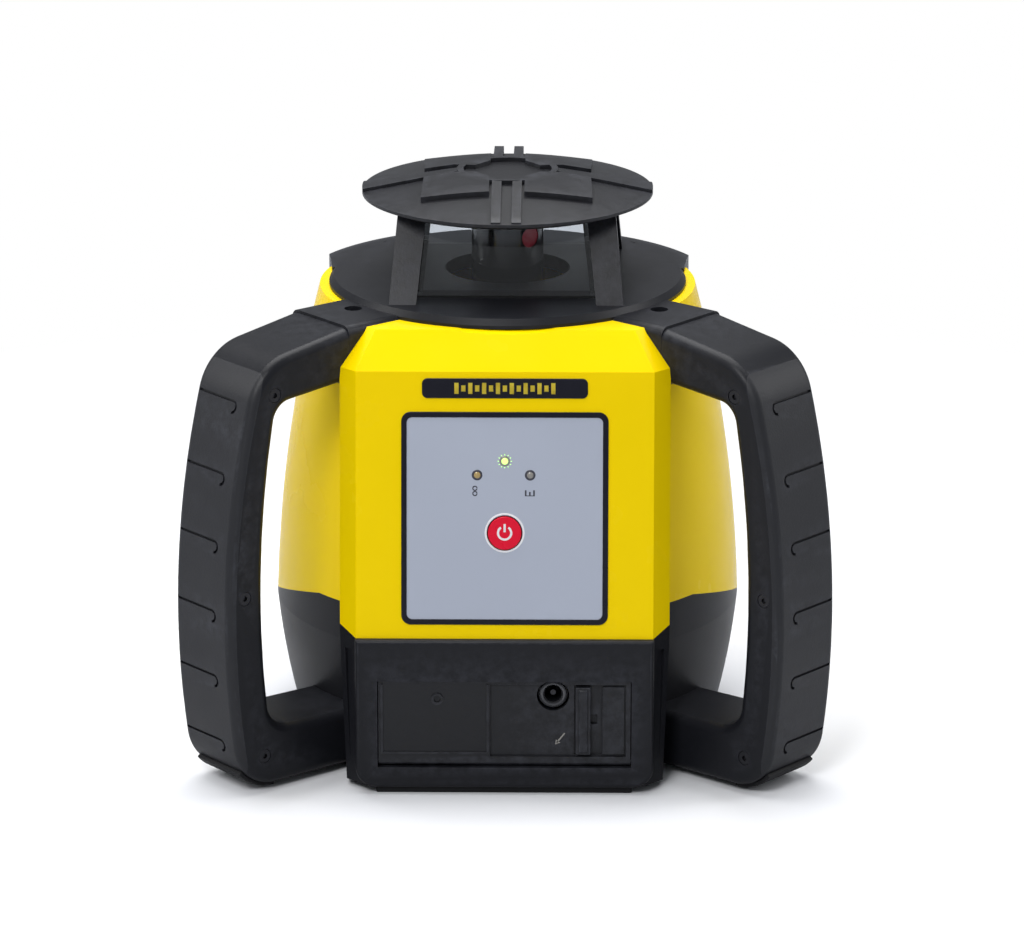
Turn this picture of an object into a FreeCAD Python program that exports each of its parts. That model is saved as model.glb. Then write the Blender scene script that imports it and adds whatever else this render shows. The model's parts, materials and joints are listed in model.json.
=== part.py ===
import FreeCAD, Part
import math
import os

# A rotary laser level. Millimetres, +Z up, -Y is the front with the control panel.
# The origin is on the floor, under the rotor axis and the tripod thread.

Vector = FreeCAD.Vector
Rotation = FreeCAD.Rotation
Placement = FreeCAD.Placement

# Body shell
BODY_BASE = 2.6            # underside of the lower housing
BODY_BASE_R = 78.5
BODY_WAIST = 49.0          # height of the widest ring, where the two housings meet
BODY_WAIST_R = 87.0
BODY_TOP = 168.5           # flat top that carries the top cover
BODY_TOP_R = 70.0
WALL = 3.0
BLOCK_HALF = 54.0          # half width of the flat front
BLOCK_CORNER = 6.0         # bevel beside the flat front
FRONT_SEAM = (-94.0, 59.5)        # (y, z) of the foot of the leaning front
FRONT_SHOULDER = (-77.8, 155.7)   # (y, z) where the front meets the shoulder
FRONT_BASE_Y = -92.0
FRONT_TOP_Y = -67.0
SIDE_SEAM = (-52.0, 63.0)      # (y, z) where the seam stops rising along the sides
TOP_HOLE_R = 58.0

# Battery bay in the lower front
BAY_FACE_Y = -96.3
BAY_PLATE_HALF = 54.4
BAY_PLATE_TOP = 59.5
DOOR_HALF = 46.0
DOOR_LOW = 10.9
DOOR_HIGH = 43.4
DOOR_FACE_Y = -95.3
DOOR_THICK = 3.0
DOOR_EDGE_R = 1.7
DOOR_AXIS = (-93.6, 12.6)  # (y, z) of the hinge pin
DOOR_PIN_R = 0.9
DOOR_GAP = 0.3
JACK_X = 17.7
JACK_Z = 37.9
JACK_R = 5.3
LATCH_X = 29.0
LATCH_TRAVEL = 2.5
CELL_R = 11.0
CELL_LENGTH = 43.0
TRAY_WALL = 1.6

# Tripod thread 5/8 inch
THREAD_R = 6.8
THREAD_LENGTH = 16.0

# Top cover, windows and cap
COVER_R = 66.5
COVER_TOP = 172.0
COVER_HOLE_R = 23.2
SILL_TOP = 174.0
CAP_UNDER = 201.5
CAP_R = 54.0
CAP_RIM = 204.2            # upper edge of the rim
CAP_CROWN = 210.4          # flat middle inside the raised ring
CAP_TOP = 212.0
CAP_RING_R = 18.8
ARM_ANGLE = 40.0           # handles sweep forward this much from the X axis
ARM_WIDTH = 34.0
ARM_JOINT_R = 88.0         # where arm root and handle meet
COVER_SCREWS = ((56.0, -44.0), (45.0, 50.0))
CUP_R = 4.6                # sunk cup of the top cover that takes a screw head
CUP_FLOOR = 2.0

# Handles, in the plane of the arm: (distance from the axis, height)
HANDLE_LOW = BODY_BASE
ARM_ROOT_R = 72.0
GRIP_MID_R = 143.6
GRIP_MID_Z = 65.0
GRIP_TOP = (128.0, 162.5)
GRIP_LOW = (137.3, 2.6)
INNER_TOP = (120.0, 146.3)
INNER_MID = (127.5, 85.0)
INNER_LOW = (124.5, 24.2)
GRIP_ARC_R = 313.0
GRIP_CENTRE_X = GRIP_ARC_R - GRIP_MID_R
GRIP_THICK = 3.0
CORNER_LOW = 18.0          # radius of the low outer corner, where the foot pad is
PAD_THICK = 1.6
PAD_HALF = 13.0
GROOVE_HEIGHTS = (148.0, 122.0, 97.0, 71.0, 46.0, 20.5)
HANDLE_SCREWS = ((121.8, 150.4), (136.4, 76.5), (128.4, 14.4))

# Control panel, placed along the leaning front from its foot
PANEL_WIDTH = 75.0
PANEL_LOW = 5.2
PANEL_HIGH = 83.0
PANEL_FRAME = 2.0
PANEL_DEPTH = 0.8
BUTTON_UP = 38.8
BUTTON_R = 6.1
LIGHT_R = 1.6
LIGHTS = ((0.0, 65.1), (-10.0, 60.0), (9.2, 60.0))
PLATE_LOW = 88.0
PLATE_HIGH = 95.2
PLATE_HALF = 30.0
BOARD_DEPTH = 7.0

# Levelling gimbal and rotor
PIVOT_Z = 120.0
CHASSIS_Z = 56.0
RING_OUT = 43.0
RING_IN = 37.0
COLLAR_R = 30.0
PIN_R = 2.0
RUN_FIT = 0.05
LEVER_OUT = 58.0           # lever pins are this far from the axis
LEVER_DROP = 18.0          # and this far under the pivot
HEAD_R = 13.4
HEAD_LOW = 166.0
HEAD_HIGH = 197.0
BEAM_Z = 188.0
BEAM_ANGLE = -48.4         # direction of the aperture at rest
SHAFT_R = 7.0
BEARING_R = 13.0
TUBE_R = 16.5
ROTOR_PULLEY_R = 11.0
MOTOR_PULLEY_R = 5.0
MOTOR_Y = 26.0
BELT_THICK = 0.8


def box(x0, x1, y0, y1, z0, z1):
    return Part.makeBox(x1 - x0, y1 - y0, z1 - z0, Vector(x0, y0, z0))


def rod(radius, start, end):
    start = Vector(*start)
    run = Vector(*end) - start
    return Part.makeCylinder(radius, run.Length, start, run)


def pipe(outer, inner, start, end):
    return rod(outer, start, end).cut(rod(inner, start, end))


def disc(radius, z0, z1, x=0.0, y=0.0):
    return rod(radius, (x, y, z0), (x, y, z1))


def ring(outer, inner, z0, z1, x=0.0, y=0.0):
    return disc(outer, z0, z1, x, y).cut(disc(inner, z0, z1, x, y))


def fuse(shapes):
    shapes = list(shapes)
    whole = shapes[0].multiFuse(shapes[1:]) if len(shapes) > 1 else shapes[0]
    return whole.removeSplitter()


def both_sides(shape):
    return [shape, shape.mirror(Vector(0, 0, 0), Vector(1, 0, 0))]


def four_corners(shape):
    rear = shape.mirror(Vector(0, 0, 0), Vector(0, 1, 0))
    return both_sides(shape) + both_sides(rear)


def polygon_face(points):
    points = [Vector(*point) for point in points]
    return Part.Face(Part.makePolygon(points + [points[0]]))


def spun(points):
    face = polygon_face([(r, 0, z) for r, z in points])
    return face.revolve(Vector(0, 0, 0), Vector(0, 0, 1), 360)


def rectangle_wire(x0, x1, y0, y1, z):
    corners = [Vector(x0, y0, z), Vector(x1, y0, z), Vector(x1, y1, z), Vector(x0, y1, z)]
    return Part.makePolygon(corners + [corners[0]])


def leaning_block(low, high):
    return Part.makeLoft([rectangle_wire(*low), rectangle_wire(*high)], True, True)


def rounded_bar(width, height, radius, low, depth_in, depth_out):
    # A plate with round corners in the plane of the leaning front, before front_frame places it.
    plate = box(-width / 2, width / 2, low, low + height, -depth_in, depth_out)
    upright = [edge for edge in plate.Edges if abs(edge.tangentAt(edge.FirstParameter).z) > 0.9]
    return plate.makeFillet(radius, upright)


def front_frame():
    # Local x is x, local y runs up the leaning front, local z points out of it.
    rise = Vector(0, FRONT_SHOULDER[0] - FRONT_SEAM[0], FRONT_SHOULDER[1] - FRONT_SEAM[1])
    lean = math.degrees(math.atan2(rise.y, rise.z))
    return Placement(Vector(0, *FRONT_SEAM), Rotation(Vector(1, 0, 0), 90 - lean))


def on_front(shape):
    placed = shape.copy()
    placed.Placement = front_frame().multiply(placed.Placement)
    return placed


def in_arm_plane(shape, angle):
    # Turns what was drawn along -X to the left arm's own direction.
    turned = shape.copy()
    turned.rotate(Vector(0, 0, 0), Vector(0, 0, 1), angle)
    return turned


# ---------------------------------------------------------------- body shells

def round_body(inset):
    low = BODY_BASE + inset
    high = BODY_TOP - inset
    base = Vector(BODY_BASE_R - inset, 0, low)
    waist = Vector(BODY_WAIST_R - inset, 0, BODY_WAIST)
    top = Vector(BODY_TOP_R - inset, 0, high)
    lower_mid = Vector(83.8 - inset, 0, 26.0)
    upper_mid = Vector(83.8 - inset, 0, 94.0)
    edges = [
        Part.makeLine(Vector(0, 0, low), base),
        Part.Arc(base, lower_mid, waist).toShape(),
        Part.Arc(waist, upper_mid, top).toShape(),
        Part.makeLine(top, Vector(0, 0, high)),
        Part.makeLine(Vector(0, 0, high), Vector(0, 0, low)),
    ]
    return Part.Face(Part.Wire(edges)).revolve(Vector(0, 0, 0), Vector(0, 0, 1), 360)


def block_outline(front, z, half, inset):
    flat = half - 0.4 * inset
    side = half + BLOCK_CORNER - inset
    front = front + inset
    points = [(-flat, front), (flat, front), (side, front + BLOCK_CORNER), (side, -20.0),
              (-side, -20.0), (-side, front + BLOCK_CORNER)]
    points = [Vector(x, y, z) for x, y in points]
    return Part.makePolygon(points + [points[0]])


def front_block(inset):
    base = block_outline(FRONT_BASE_Y, BODY_BASE + inset, BLOCK_HALF - 2.0, inset)
    seam = block_outline(FRONT_SEAM[0], FRONT_SEAM[1], BLOCK_HALF, inset)
    shoulder = block_outline(FRONT_SHOULDER[0], FRONT_SHOULDER[1], BLOCK_HALF, inset)
    top = block_outline(FRONT_TOP_Y, BODY_TOP - inset, BLOCK_HALF - 7.0, inset)
    pairs = ((base, seam), (seam, shoulder), (shoulder, top))
    return [Part.makeLoft(list(pair), True, True) for pair in pairs]


def body_solid(inset):
    return fuse([round_body(inset)] + front_block(inset))


def lower_zone(lift):
    # Everything under the seam: level behind, rising along the sides, and level again over the front.
    rear = BODY_WAIST + lift
    side = SIDE_SEAM[1] + lift
    front = FRONT_SEAM[1] + lift
    zone = polygon_face([(-130, 130, 0), (-130, 130, rear), (-130, 0, rear), (-130, SIDE_SEAM[0], side),
                         (-130, -130, side), (-130, -130, 0)]).extrude(Vector(260, 0, 0))
    corner = BLOCK_HALF + BLOCK_CORNER
    notch = polygon_face([(-BLOCK_HALF, -130, front), (BLOCK_HALF, -130, front), (corner, -130, side),
                          (corner, -130, side + 10), (-corner, -130, side + 10), (-corner, -130, side)])
    return zone.cut(notch.extrude(Vector(0, 60, 0)))


def body_shell():
    return body_solid(0.0).cut(body_solid(WALL))


def bay_frame():
    # The plate round the battery door, on the front of the lower housing.
    plate = box(-BAY_PLATE_HALF, BAY_PLATE_HALF, BAY_FACE_Y, -89.0, BODY_BASE, BAY_PLATE_TOP)
    low_corners = [edge for edge in plate.Edges
                   if abs(edge.tangentAt(edge.FirstParameter).y) > 0.9
                   and edge.CenterOfMass.z < BODY_BASE + 1]
    plate = plate.makeFillet(7.5, low_corners)
    rim = [edge for edge in plate.Edges
           if edge.CenterOfMass.y < BAY_FACE_Y + 0.1 and edge.CenterOfMass.z > BODY_BASE + 10]
    plate = plate.makeFillet(1.5, rim).cut(body_solid(0.0))
    latch_slot = box(DOOR_HALF, 50.5, -92.4, -90.2, 25.7, 31.3)
    return plate.cut(door_opening()).cut(pin_line()).cut(latch_slot)


def door_opening():
    return box(-DOOR_HALF - DOOR_GAP, DOOR_HALF + DOOR_GAP, -97, -88.5,
               DOOR_LOW - DOOR_GAP, DOOR_HIGH + DOOR_GAP)


def pin_line():
    return hinge_line(-DOOR_HALF - 5, DOOR_HALF + 5, DOOR_PIN_R)


def side_slot():
    # A shallow upright slot in the bevel beside the flat front.
    slot = leaning_block((-1.8, 1.8, -4.0, 2.4, 12.0), (-1.8, 1.8, -4.0, 1.4, 54.5))
    slot.rotate(Vector(0, 0, 0), Vector(0, 0, 1), 45)
    slot.translate(Vector(BLOCK_HALF + BLOCK_CORNER / 2, FRONT_SEAM[0] + BLOCK_CORNER / 2, 0))
    return slot


def hinge_line(x0, x1, radius):
    return rod(radius, (x0, DOOR_AXIS[0], DOOR_AXIS[1]), (x1, DOOR_AXIS[0], DOOR_AXIS[1]))


def lower_housing(shell):
    housing = shell.common(lower_zone(0))
    latch_slot = box(DOOR_HALF, 50.5, -92.4, -90.2, 25.7, 31.3)
    thread_hole = disc(12.0, 0, 8)
    posts = both_sides(ring(4.5, 1.6, BODY_BASE + 1, CHASSIS_Z, 44.0, 36.0))
    housing = housing.cut(door_opening()).cut(pin_line()).cut(latch_slot).cut(thread_hole)
    for slot in both_sides(side_slot()):
        housing = housing.cut(slot)
    return fuse([housing] + posts)


def arm_bar(r_out, r_in, low, high, edge):
    # A bar along -X with its long edges rounded, drawn before in_arm_plane turns it.
    bar = box(-r_out, -r_in, -ARM_WIDTH / 2, ARM_WIDTH / 2, low, high)
    long_edges = [e for e in bar.Edges if abs(e.tangentAt(e.FirstParameter).x) > 0.9]
    return bar.makeFillet(edge, long_edges)


def upper_housing(shell):
    housing = shell.cut(lower_zone(0))
    bosses = []
    for x, y in COVER_SCREWS:
        bosses += both_sides(disc(CUP_R + 1.9, 146, BODY_TOP, x, y).common(body_solid(0.5)))
    board_posts = [on_front(disc(2.6, -BOARD_DEPTH, -2.5, x, up)) for x, up in board_post_places()]
    housing = fuse([housing] + bosses + board_posts)
    for x, y in COVER_SCREWS:
        for side in (-1, 1):
            housing = housing.cut(disc(1.5, 148, BODY_TOP + 1, side * x, y))
            housing = housing.cut(disc(CUP_R + 0.1, screw_seat(y) - CUP_FLOOR, BODY_TOP + 1, side * x, y))
    housing = housing.cut(disc(TOP_HOLE_R, 160, 175))
    housing = housing.cut(ring(62.0, 60.0, BODY_TOP - 1.0, BODY_TOP + 1))
    for shape in front_cuts():
        housing = housing.cut(on_front(shape))
    return housing


def board_post_places():
    return ((-24.0, 30.0), (24.0, 30.0), (-24.0, 72.0), (24.0, 72.0))


def front_cuts():
    cuts = [rounded_bar(PANEL_WIDTH, PANEL_HIGH - PANEL_LOW, 3.5, PANEL_LOW, PANEL_DEPTH, 3)]
    cuts.append(rounded_bar(2 * PLATE_HALF, PLATE_HIGH - PLATE_LOW, 2.0, PLATE_LOW, 0.4, 3))
    cuts.append(disc(BUTTON_R + 0.4, -10, 3, 0, BUTTON_UP))
    cuts += [disc(LIGHT_R, -6, 3, x, up) for x, up in LIGHTS]
    cuts += [disc(1.0, -BOARD_DEPTH - 1, -3.4, x, up) for x, up in board_post_places()]
    return cuts


def housing_gasket():
    skin = body_solid(WALL).cut(body_solid(WALL + 2.0))
    band = lower_zone(2.0).cut(lower_zone(-2.0))
    return skin.common(band)


# ---------------------------------------------------------------- top cover, windows, cap

def pillar():
    low = (33.0, 43.0, 35.0, 47.0, COVER_TOP - 1)
    high = (29.5, 40.0, 20.0, 30.0, CAP_UNDER)
    return leaning_block(low, high)


def sill():
    return leaning_block((-43.0, 43.0, -47.0, 47.0, COVER_TOP - 0.4), (-33.0, 33.0, -33.0, 33.0, SILL_TOP))


def arm_root(body):
    root = arm_bar(ARM_JOINT_R, 50.0, 147.5, 170.0, 3.5)
    return in_arm_plane(root, ARM_ANGLE).cut(body)


def rear_lug(body):
    # A flared boss behind each side of the deck, tapered underneath.
    outline = [(45.0, 10.0), (66.0, 14.0), (68.5, 42.0), (58.0, 59.0), (42.0, 70.5), (20.0, 60.0),
               (20.0, 40.0)]
    lug = polygon_face([(-x, y, 150.0) for x, y in outline]).extrude(Vector(0, 0, 20.0))
    corners = [edge for edge in lug.Edges
               if abs(edge.tangentAt(edge.FirstParameter).z) > 0.9
               and math.hypot(edge.CenterOfMass.x, edge.CenterOfMass.y) > 72]
    lug = lug.makeFillet(11.0, corners)
    taper = spun([(0, 150), (70, 150), (82.5, 161.0), (83.0, 163.5), (81.0, 167.0), (77.0, 169.3),
                  (72.0, 170), (0, 170)])
    return lug.common(taper).cut(body)


def top_cover(body):
    deck = spun([(20, BODY_TOP), (COVER_R, BODY_TOP), (COVER_R, BODY_TOP + 1.2), (COVER_R - 1.8, COVER_TOP),
                 (20, COVER_TOP)])
    skirt = ring(TOP_HOLE_R - 0.2, TOP_HOLE_R - 2.7, BODY_TOP - 5, BODY_TOP)
    cups = []
    for x, y in COVER_SCREWS:
        cups += both_sides(disc(CUP_R, screw_seat(y) - CUP_FLOOR, BODY_TOP + 1, x, y))
    cover = fuse([deck, skirt, sill()] + four_corners(pillar()) + cups
                 + both_sides(arm_root(body)) + both_sides(rear_lug(body)))
    cover = cover.cut(disc(COVER_HOLE_R, 150, 176))
    for x, y in COVER_SCREWS:
        for side in (-1, 1):
            cover = cover.cut(disc(1.5, 140, 175, side * x, y))
            cover = cover.cut(disc(3.3, screw_seat(y), 175, side * x, y))
    return cover


def screw_seat(y):
    return 166.5 if y > 0 else 165.0


def top_cover_screws():
    screws = []
    for x, y in COVER_SCREWS:
        seat = screw_seat(y)
        head = disc(3.0, seat, seat + 2.4, x, y).cut(disc(1.3, seat + 1.0, seat + 2.4, x, y))
        screws += both_sides(fuse([head, disc(1.5, 149, seat, x, y)]))
    return screws


def side_pane():
    pane = leaning_block((31.0, 33.0, -36.0, 36.0, SILL_TOP - 2), (27.5, 29.5, -26.0, 26.0, CAP_UNDER))
    return pane.cut(sill())


def front_pane(cover):
    pane = leaning_block((-33.0, 33.0, -40.0, -38.0, SILL_TOP - 2), (-29.5, 29.5, -27.5, -25.7, CAP_UNDER))
    return pane.cut(cover).cut(fuse(both_sides(side_pane())))


def cap_cone(lift):
    # The cap's shallow cone, its upper face raised by lift.
    return spun([(0, CAP_UNDER), (50, CAP_UNDER), (CAP_R, CAP_UNDER + 1.6), (CAP_R, CAP_RIM + lift),
                 (CAP_RING_R, CAP_CROWN + lift), (0, CAP_CROWN + lift)])


def upright(points, top):
    # A prism over a plan outline, from under the cap's face up to top.
    return polygon_face([(x, y, CAP_UNDER + 1) for x, y in points]).extrude(Vector(0, 0, top - CAP_UNDER - 1))


def rail(x0, x1, profile):
    return polygon_face([(x0, y, z) for y, z in profile]).extrude(Vector(x1 - x0, 0, 0))


def top_cap():
    collar = ring(CAP_RING_R, CAP_RING_R - 2.4, CAP_UNDER + 4, CAP_TOP)
    shapes = [cap_cone(0), collar]
    raised = cap_cone(2.0)
    wedge_top = cap_cone(1.2)
    root = CAP_RING_R - 1.0
    rear_profile = [(root, 207), (root, CAP_TOP), (49.5, 208.2), (53.0, 207.0), (53.0, 203)]
    front_profile = [(-53.0, 203), (-53.0, 204.9), (-48.0, 206.6), (-root, CAP_TOP), (-root, 207)]
    for side in (-1, 1):
        # Two rails along Y with a sighting channel between them.
        rail_x = (2.0, 5.5) if side > 0 else (-5.5, -2.0)
        shapes.append(rail(*rail_x, front_profile))
        shapes.append(rail(*rail_x, rear_profile))
        # A wedge along X, wider at the rim.
        wedge = upright([(side * root, -2.5), (side * root, 2.5), (side * 54, 6), (side * 54, -6)], CAP_TOP)
        shapes.append(wedge.common(wedge_top))
        for end in (-1, 1):
            plate = upright([(side * 6.5, end * 29), (side * 6.5, end * 12), (side * 12, end * 5),
                             (side * 31, end * 6.5), (side * 31.5, end * 29)], CAP_TOP)
            shapes.append(plate.common(raised))
    hollow = spun([(0, CAP_UNDER - 1), (25, CAP_UNDER - 1), (25, CAP_UNDER), (15, CAP_CROWN - 3.5),
                   (0, CAP_CROWN - 3.5)])
    return fuse(shapes).cut(hollow)


def handle_outline():
    # The outline of one handle along -X, with sharp corners, as (distance from the axis, height).
    def at(place):
        return Vector(-place[0], -ARM_WIDTH / 2, place[1])

    joint = ARM_JOINT_R + 0.1
    grip = Part.Arc(at(GRIP_TOP), at((GRIP_MID_R, GRIP_MID_Z)), at(GRIP_LOW)).toShape()
    inner = Part.Arc(at(INNER_LOW), at(INNER_MID), at(INNER_TOP)).toShape()
    upper_arm = [(joint, 149.5), (joint, 169.0), GRIP_TOP]
    lower_arm = [GRIP_LOW, (ARM_ROOT_R, HANDLE_LOW), (ARM_ROOT_R, 23.0), INNER_LOW]
    edges = [Part.makeLine(at(p), at(q)) for p, q in zip(upper_arm, upper_arm[1:])]
    edges.append(grip)
    edges += [Part.makeLine(at(p), at(q)) for p, q in zip(lower_arm, lower_arm[1:])]
    edges.append(inner)
    edges.append(Part.makeLine(at(INNER_TOP), at(upper_arm[0])))
    return Part.Face(Part.Wire(edges))


def rounded_corner(solid, place, radius):
    corner = [edge for edge in solid.Edges
              if math.hypot(edge.CenterOfMass.x + place[0], edge.CenterOfMass.z - place[1]) < 0.5]
    return solid.makeFillet(radius, corner)


def handle_solid():
    solid = handle_outline().extrude(Vector(0, ARM_WIDTH, 0))
    for place, radius in ((GRIP_TOP, 22.0), (GRIP_LOW, CORNER_LOW), (INNER_TOP, 8.0), (INNER_LOW, 10.0)):
        solid = rounded_corner(solid, place, radius)
    rim = [edge for edge in solid.Edges
           if abs(abs(edge.CenterOfMass.y) - ARM_WIDTH / 2) < 0.1
           and abs(edge.CenterOfMass.x + ARM_JOINT_R) > 1.0
           and abs(edge.CenterOfMass.x + ARM_ROOT_R) > 1.0]
    return solid.makeFillet(3.5, rim)


def grip_core():
    # The cylinder that parts the grip from the frame, concentric with the grip's outer arc.
    return rod(GRIP_ARC_R - GRIP_THICK, (GRIP_CENTRE_X, -30, GRIP_MID_Z), (GRIP_CENTRE_X, 30, GRIP_MID_Z))


def groove(z):
    # A line across the grip with a short hook at its front end.
    line = box(-150, -115, -6.0, ARM_WIDTH / 2 - 2.5, z - 0.5, z + 0.5)
    hook = pipe(2.6, 1.6, (-150, -6.0, z - 2.1), (-115, -6.0, z - 2.1))
    front_half = box(-151, -114, -9.0, -6.0, z - 4.8, z + 0.5)
    return fuse([line, hook.common(front_half)])


def handle_frame(body):
    frame = handle_solid().common(grip_core())
    for r, z in HANDLE_SCREWS:
        frame = frame.cut(rod(1.3, (-r, -18, z), (-r, 12, z))).cut(rod(2.7, (-r, -18, z), (-r, -15.4, z)))
    return in_arm_plane(frame, ARM_ANGLE).cut(body)


def handle_grip():
    grip = handle_solid().cut(grip_core())
    floor = rod(GRIP_ARC_R - 1.0, (GRIP_CENTRE_X, -30, GRIP_MID_Z), (GRIP_CENTRE_X, 30, GRIP_MID_Z))
    for z in GROOVE_HEIGHTS:
        grip = grip.cut(groove(z).cut(floor))
    pieces = sorted(grip.Solids, key=lambda piece: piece.Volume)
    return pieces[-1]


def handle_screws():
    screws = []
    for r, z in HANDLE_SCREWS:
        shank = rod(1.3, (-r, -15.5, z), (-r, 10, z))
        head = rod(2.5, (-r, -15.4, z), (-r, -16.8, z)).cut(rod(1.0, (-r, -16.0, z), (-r, -16.8, z)))
        screws += both_sides(in_arm_plane(fuse([shank, head]), ARM_ANGLE))
    return screws


def foot_pad():
    # A pad bent round the low outer corner of the handle.
    centre_z = HANDLE_LOW + CORNER_LOW
    reach = math.sqrt((GRIP_ARC_R - CORNER_LOW) ** 2 - (GRIP_MID_Z - centre_z) ** 2)
    centre_x = GRIP_CENTRE_X - reach
    bend = pipe(CORNER_LOW + PAD_THICK, CORNER_LOW - 2, (centre_x, -PAD_HALF, centre_z),
                (centre_x, PAD_HALF, centre_z))
    wedge = polygon_face([(centre_x, -PAD_HALF, centre_z), (centre_x + 1.0, -PAD_HALF, 0),
                          (centre_x - 24, -PAD_HALF, 0), (centre_x - 24, -PAD_HALF, centre_z - 20)])
    return bend.common(wedge.extrude(Vector(0, 2 * PAD_HALF, 0)))


# ---------------------------------------------------------------- control panel

def panel_holes(plate):
    plate = plate.cut(disc(BUTTON_R + 0.4, -5, 5, 0, BUTTON_UP))
    for x, up in LIGHTS:
        plate = plate.cut(disc(LIGHT_R, -5, 5, x, up))
    return plate


def panel_frame():
    height = PANEL_HIGH - PANEL_LOW
    outer = rounded_bar(PANEL_WIDTH, height, 3.5, PANEL_LOW, PANEL_DEPTH, 0.5)
    inner = rounded_bar(PANEL_WIDTH - 2 * PANEL_FRAME, height - 2 * PANEL_FRAME, 2.0,
                        PANEL_LOW + PANEL_FRAME, 2, 2)
    return outer.cut(inner)


def control_panel():
    plate = rounded_bar(PANEL_WIDTH - 2 * PANEL_FRAME, PANEL_HIGH - PANEL_LOW - 2 * PANEL_FRAME, 2.0,
                        PANEL_LOW + PANEL_FRAME, PANEL_DEPTH, 0.2)
    return panel_holes(plate)


def name_plate():
    return rounded_bar(2 * PLATE_HALF, PLATE_HIGH - PLATE_LOW, 2.0, PLATE_LOW, 0.4, 0.5)


def status_lights():
    return [on_front(disc(LIGHT_R, -5.6, 0.5, x, up)) for x, up in LIGHTS]


def power_button():
    cap = disc(BUTTON_R, -2.4, 0.7, 0, BUTTON_UP)
    stem = disc(2.4, -4.4, -2.4, 0, BUTTON_UP)
    return fuse([cap, stem])


def button_switch():
    return fuse([box(-3, 3, BUTTON_UP - 3, BUTTON_UP + 3, -BOARD_DEPTH, -5.7),
                 disc(1.6, -5.7, -5.2, 0, BUTTON_UP)])


def panel_board():
    board = box(-29, 29, 25, 77, -BOARD_DEPTH - 1.6, -BOARD_DEPTH)
    for x, up in board_post_places():
        board = board.cut(disc(1.1, -12, 0, x, up))
    driver = box(-7, 7, 44, 54, -BOARD_DEPTH - 3.2, -BOARD_DEPTH - 1.6)
    return fuse([board, driver])


def board_screws():
    low = -BOARD_DEPTH - 1.6
    return [on_front(fuse([disc(1.0, low, -3.6, x, up), disc(2.0, low - 1.5, low, x, up)]))
            for x, up in board_post_places()]


# ---------------------------------------------------------------- battery bay

def battery_door():
    axis_y, axis_z = DOOR_AXIS
    back = DOOR_FACE_Y + DOOR_THICK
    panel = box(-DOOR_HALF, DOOR_HALF, DOOR_FACE_Y, back, axis_z, DOOR_HIGH)
    roll = hinge_line(-DOOR_HALF, DOOR_HALF, DOOR_EDGE_R)
    door = fuse([panel, roll])
    recess = box(-5.2, 44.3, DOOR_FACE_Y - 1, DOOR_FACE_Y + 1.2, axis_z + 2.0, DOOR_HIGH - 1.0)
    slab = box(35.8, 43.6, DOOR_FACE_Y + 0.2, DOOR_FACE_Y + 1.2, axis_z + 3.0, DOOR_HIGH - 2.0)
    door = door.cut(recess).fuse(slab)
    latch_well = box(25.4, 35.6, DOOR_FACE_Y - 1, DOOR_FACE_Y + 2.0, axis_z + 2.4, DOOR_HIGH - 1.4)
    rib_low = box(-45.2, -5.6, DOOR_FACE_Y - 0.6, DOOR_FACE_Y, axis_z + 3.0, axis_z + 3.8)
    ribs = [box(x, x + 0.9, DOOR_FACE_Y - 0.6, DOOR_FACE_Y, axis_z + 3.0, DOOR_HIGH - 1.0)
            for x in (-45.2, -6.5)]
    stud = rod(2.2, (-24.5, DOOR_FACE_Y - 0.6, 36.8), (-24.5, DOOR_FACE_Y, 36.8))
    door = fuse([door.cut(latch_well), rib_low, stud] + ribs)
    door = door.cut(rod(JACK_R + 0.6, (JACK_X, -97, JACK_Z), (JACK_X, -90, JACK_Z)))
    door = door.cut(box(LATCH_X - 2.4, LATCH_X + 2.4 + LATCH_TRAVEL, -97, -90, 26.6, 30.4))
    door = door.cut(rod(1.3, (-24.5, -97, 36.8), (-24.5, -95.0, 36.8)))
    return door.cut(hinge_line(-60, 60, DOOR_PIN_R + RUN_FIT))


def door_latch():
    finger = box(LATCH_X - 3, LATCH_X + 2.4, -96.0, DOOR_FACE_Y + 1.7, 15.6, 41.4)
    thumb = box(LATCH_X - 1.8, LATCH_X + 1.2, -96.6, -96.0, 16.6, 40.4)
    stem = box(LATCH_X - 2, LATCH_X + 2, DOOR_FACE_Y + 1.7, -91.2, 27, 30)
    tongue = box(LATCH_X - 5, DOOR_HALF - 0.3, -92.0, -90.6, 26, 31)
    return fuse([finger, thumb, stem, tongue])


def battery_tray():
    outer = box(-50, 50, -88.3, -38, BODY_BASE + WALL, 46)
    inner = box(-50 + TRAY_WALL, 50 - TRAY_WALL, -89, -38 - TRAY_WALL,
                BODY_BASE + WALL + TRAY_WALL, 46 - TRAY_WALL)
    return outer.cut(inner)


def battery_cells():
    low = BODY_BASE + WALL + TRAY_WALL + CELL_R + 0.2
    cells = []
    for x in (-33.9, -11.3, 11.3, 33.9):
        can = rod(CELL_R, (x, -85, low), (x, -85 + CELL_LENGTH, low))
        cap = rod(3.0, (x, -86, low), (x, -85, low))
        cells.append(fuse([can, cap]))
    return cells


def battery_contacts():
    low = BODY_BASE + WALL + TRAY_WALL + CELL_R + 0.2
    rear = -85 + CELL_LENGTH
    return [box(x - 6, x + 6, rear, -38 - TRAY_WALL, low - 6, low + 6) for x in (-33.9, -11.3, 11.3, 33.9)]


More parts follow.
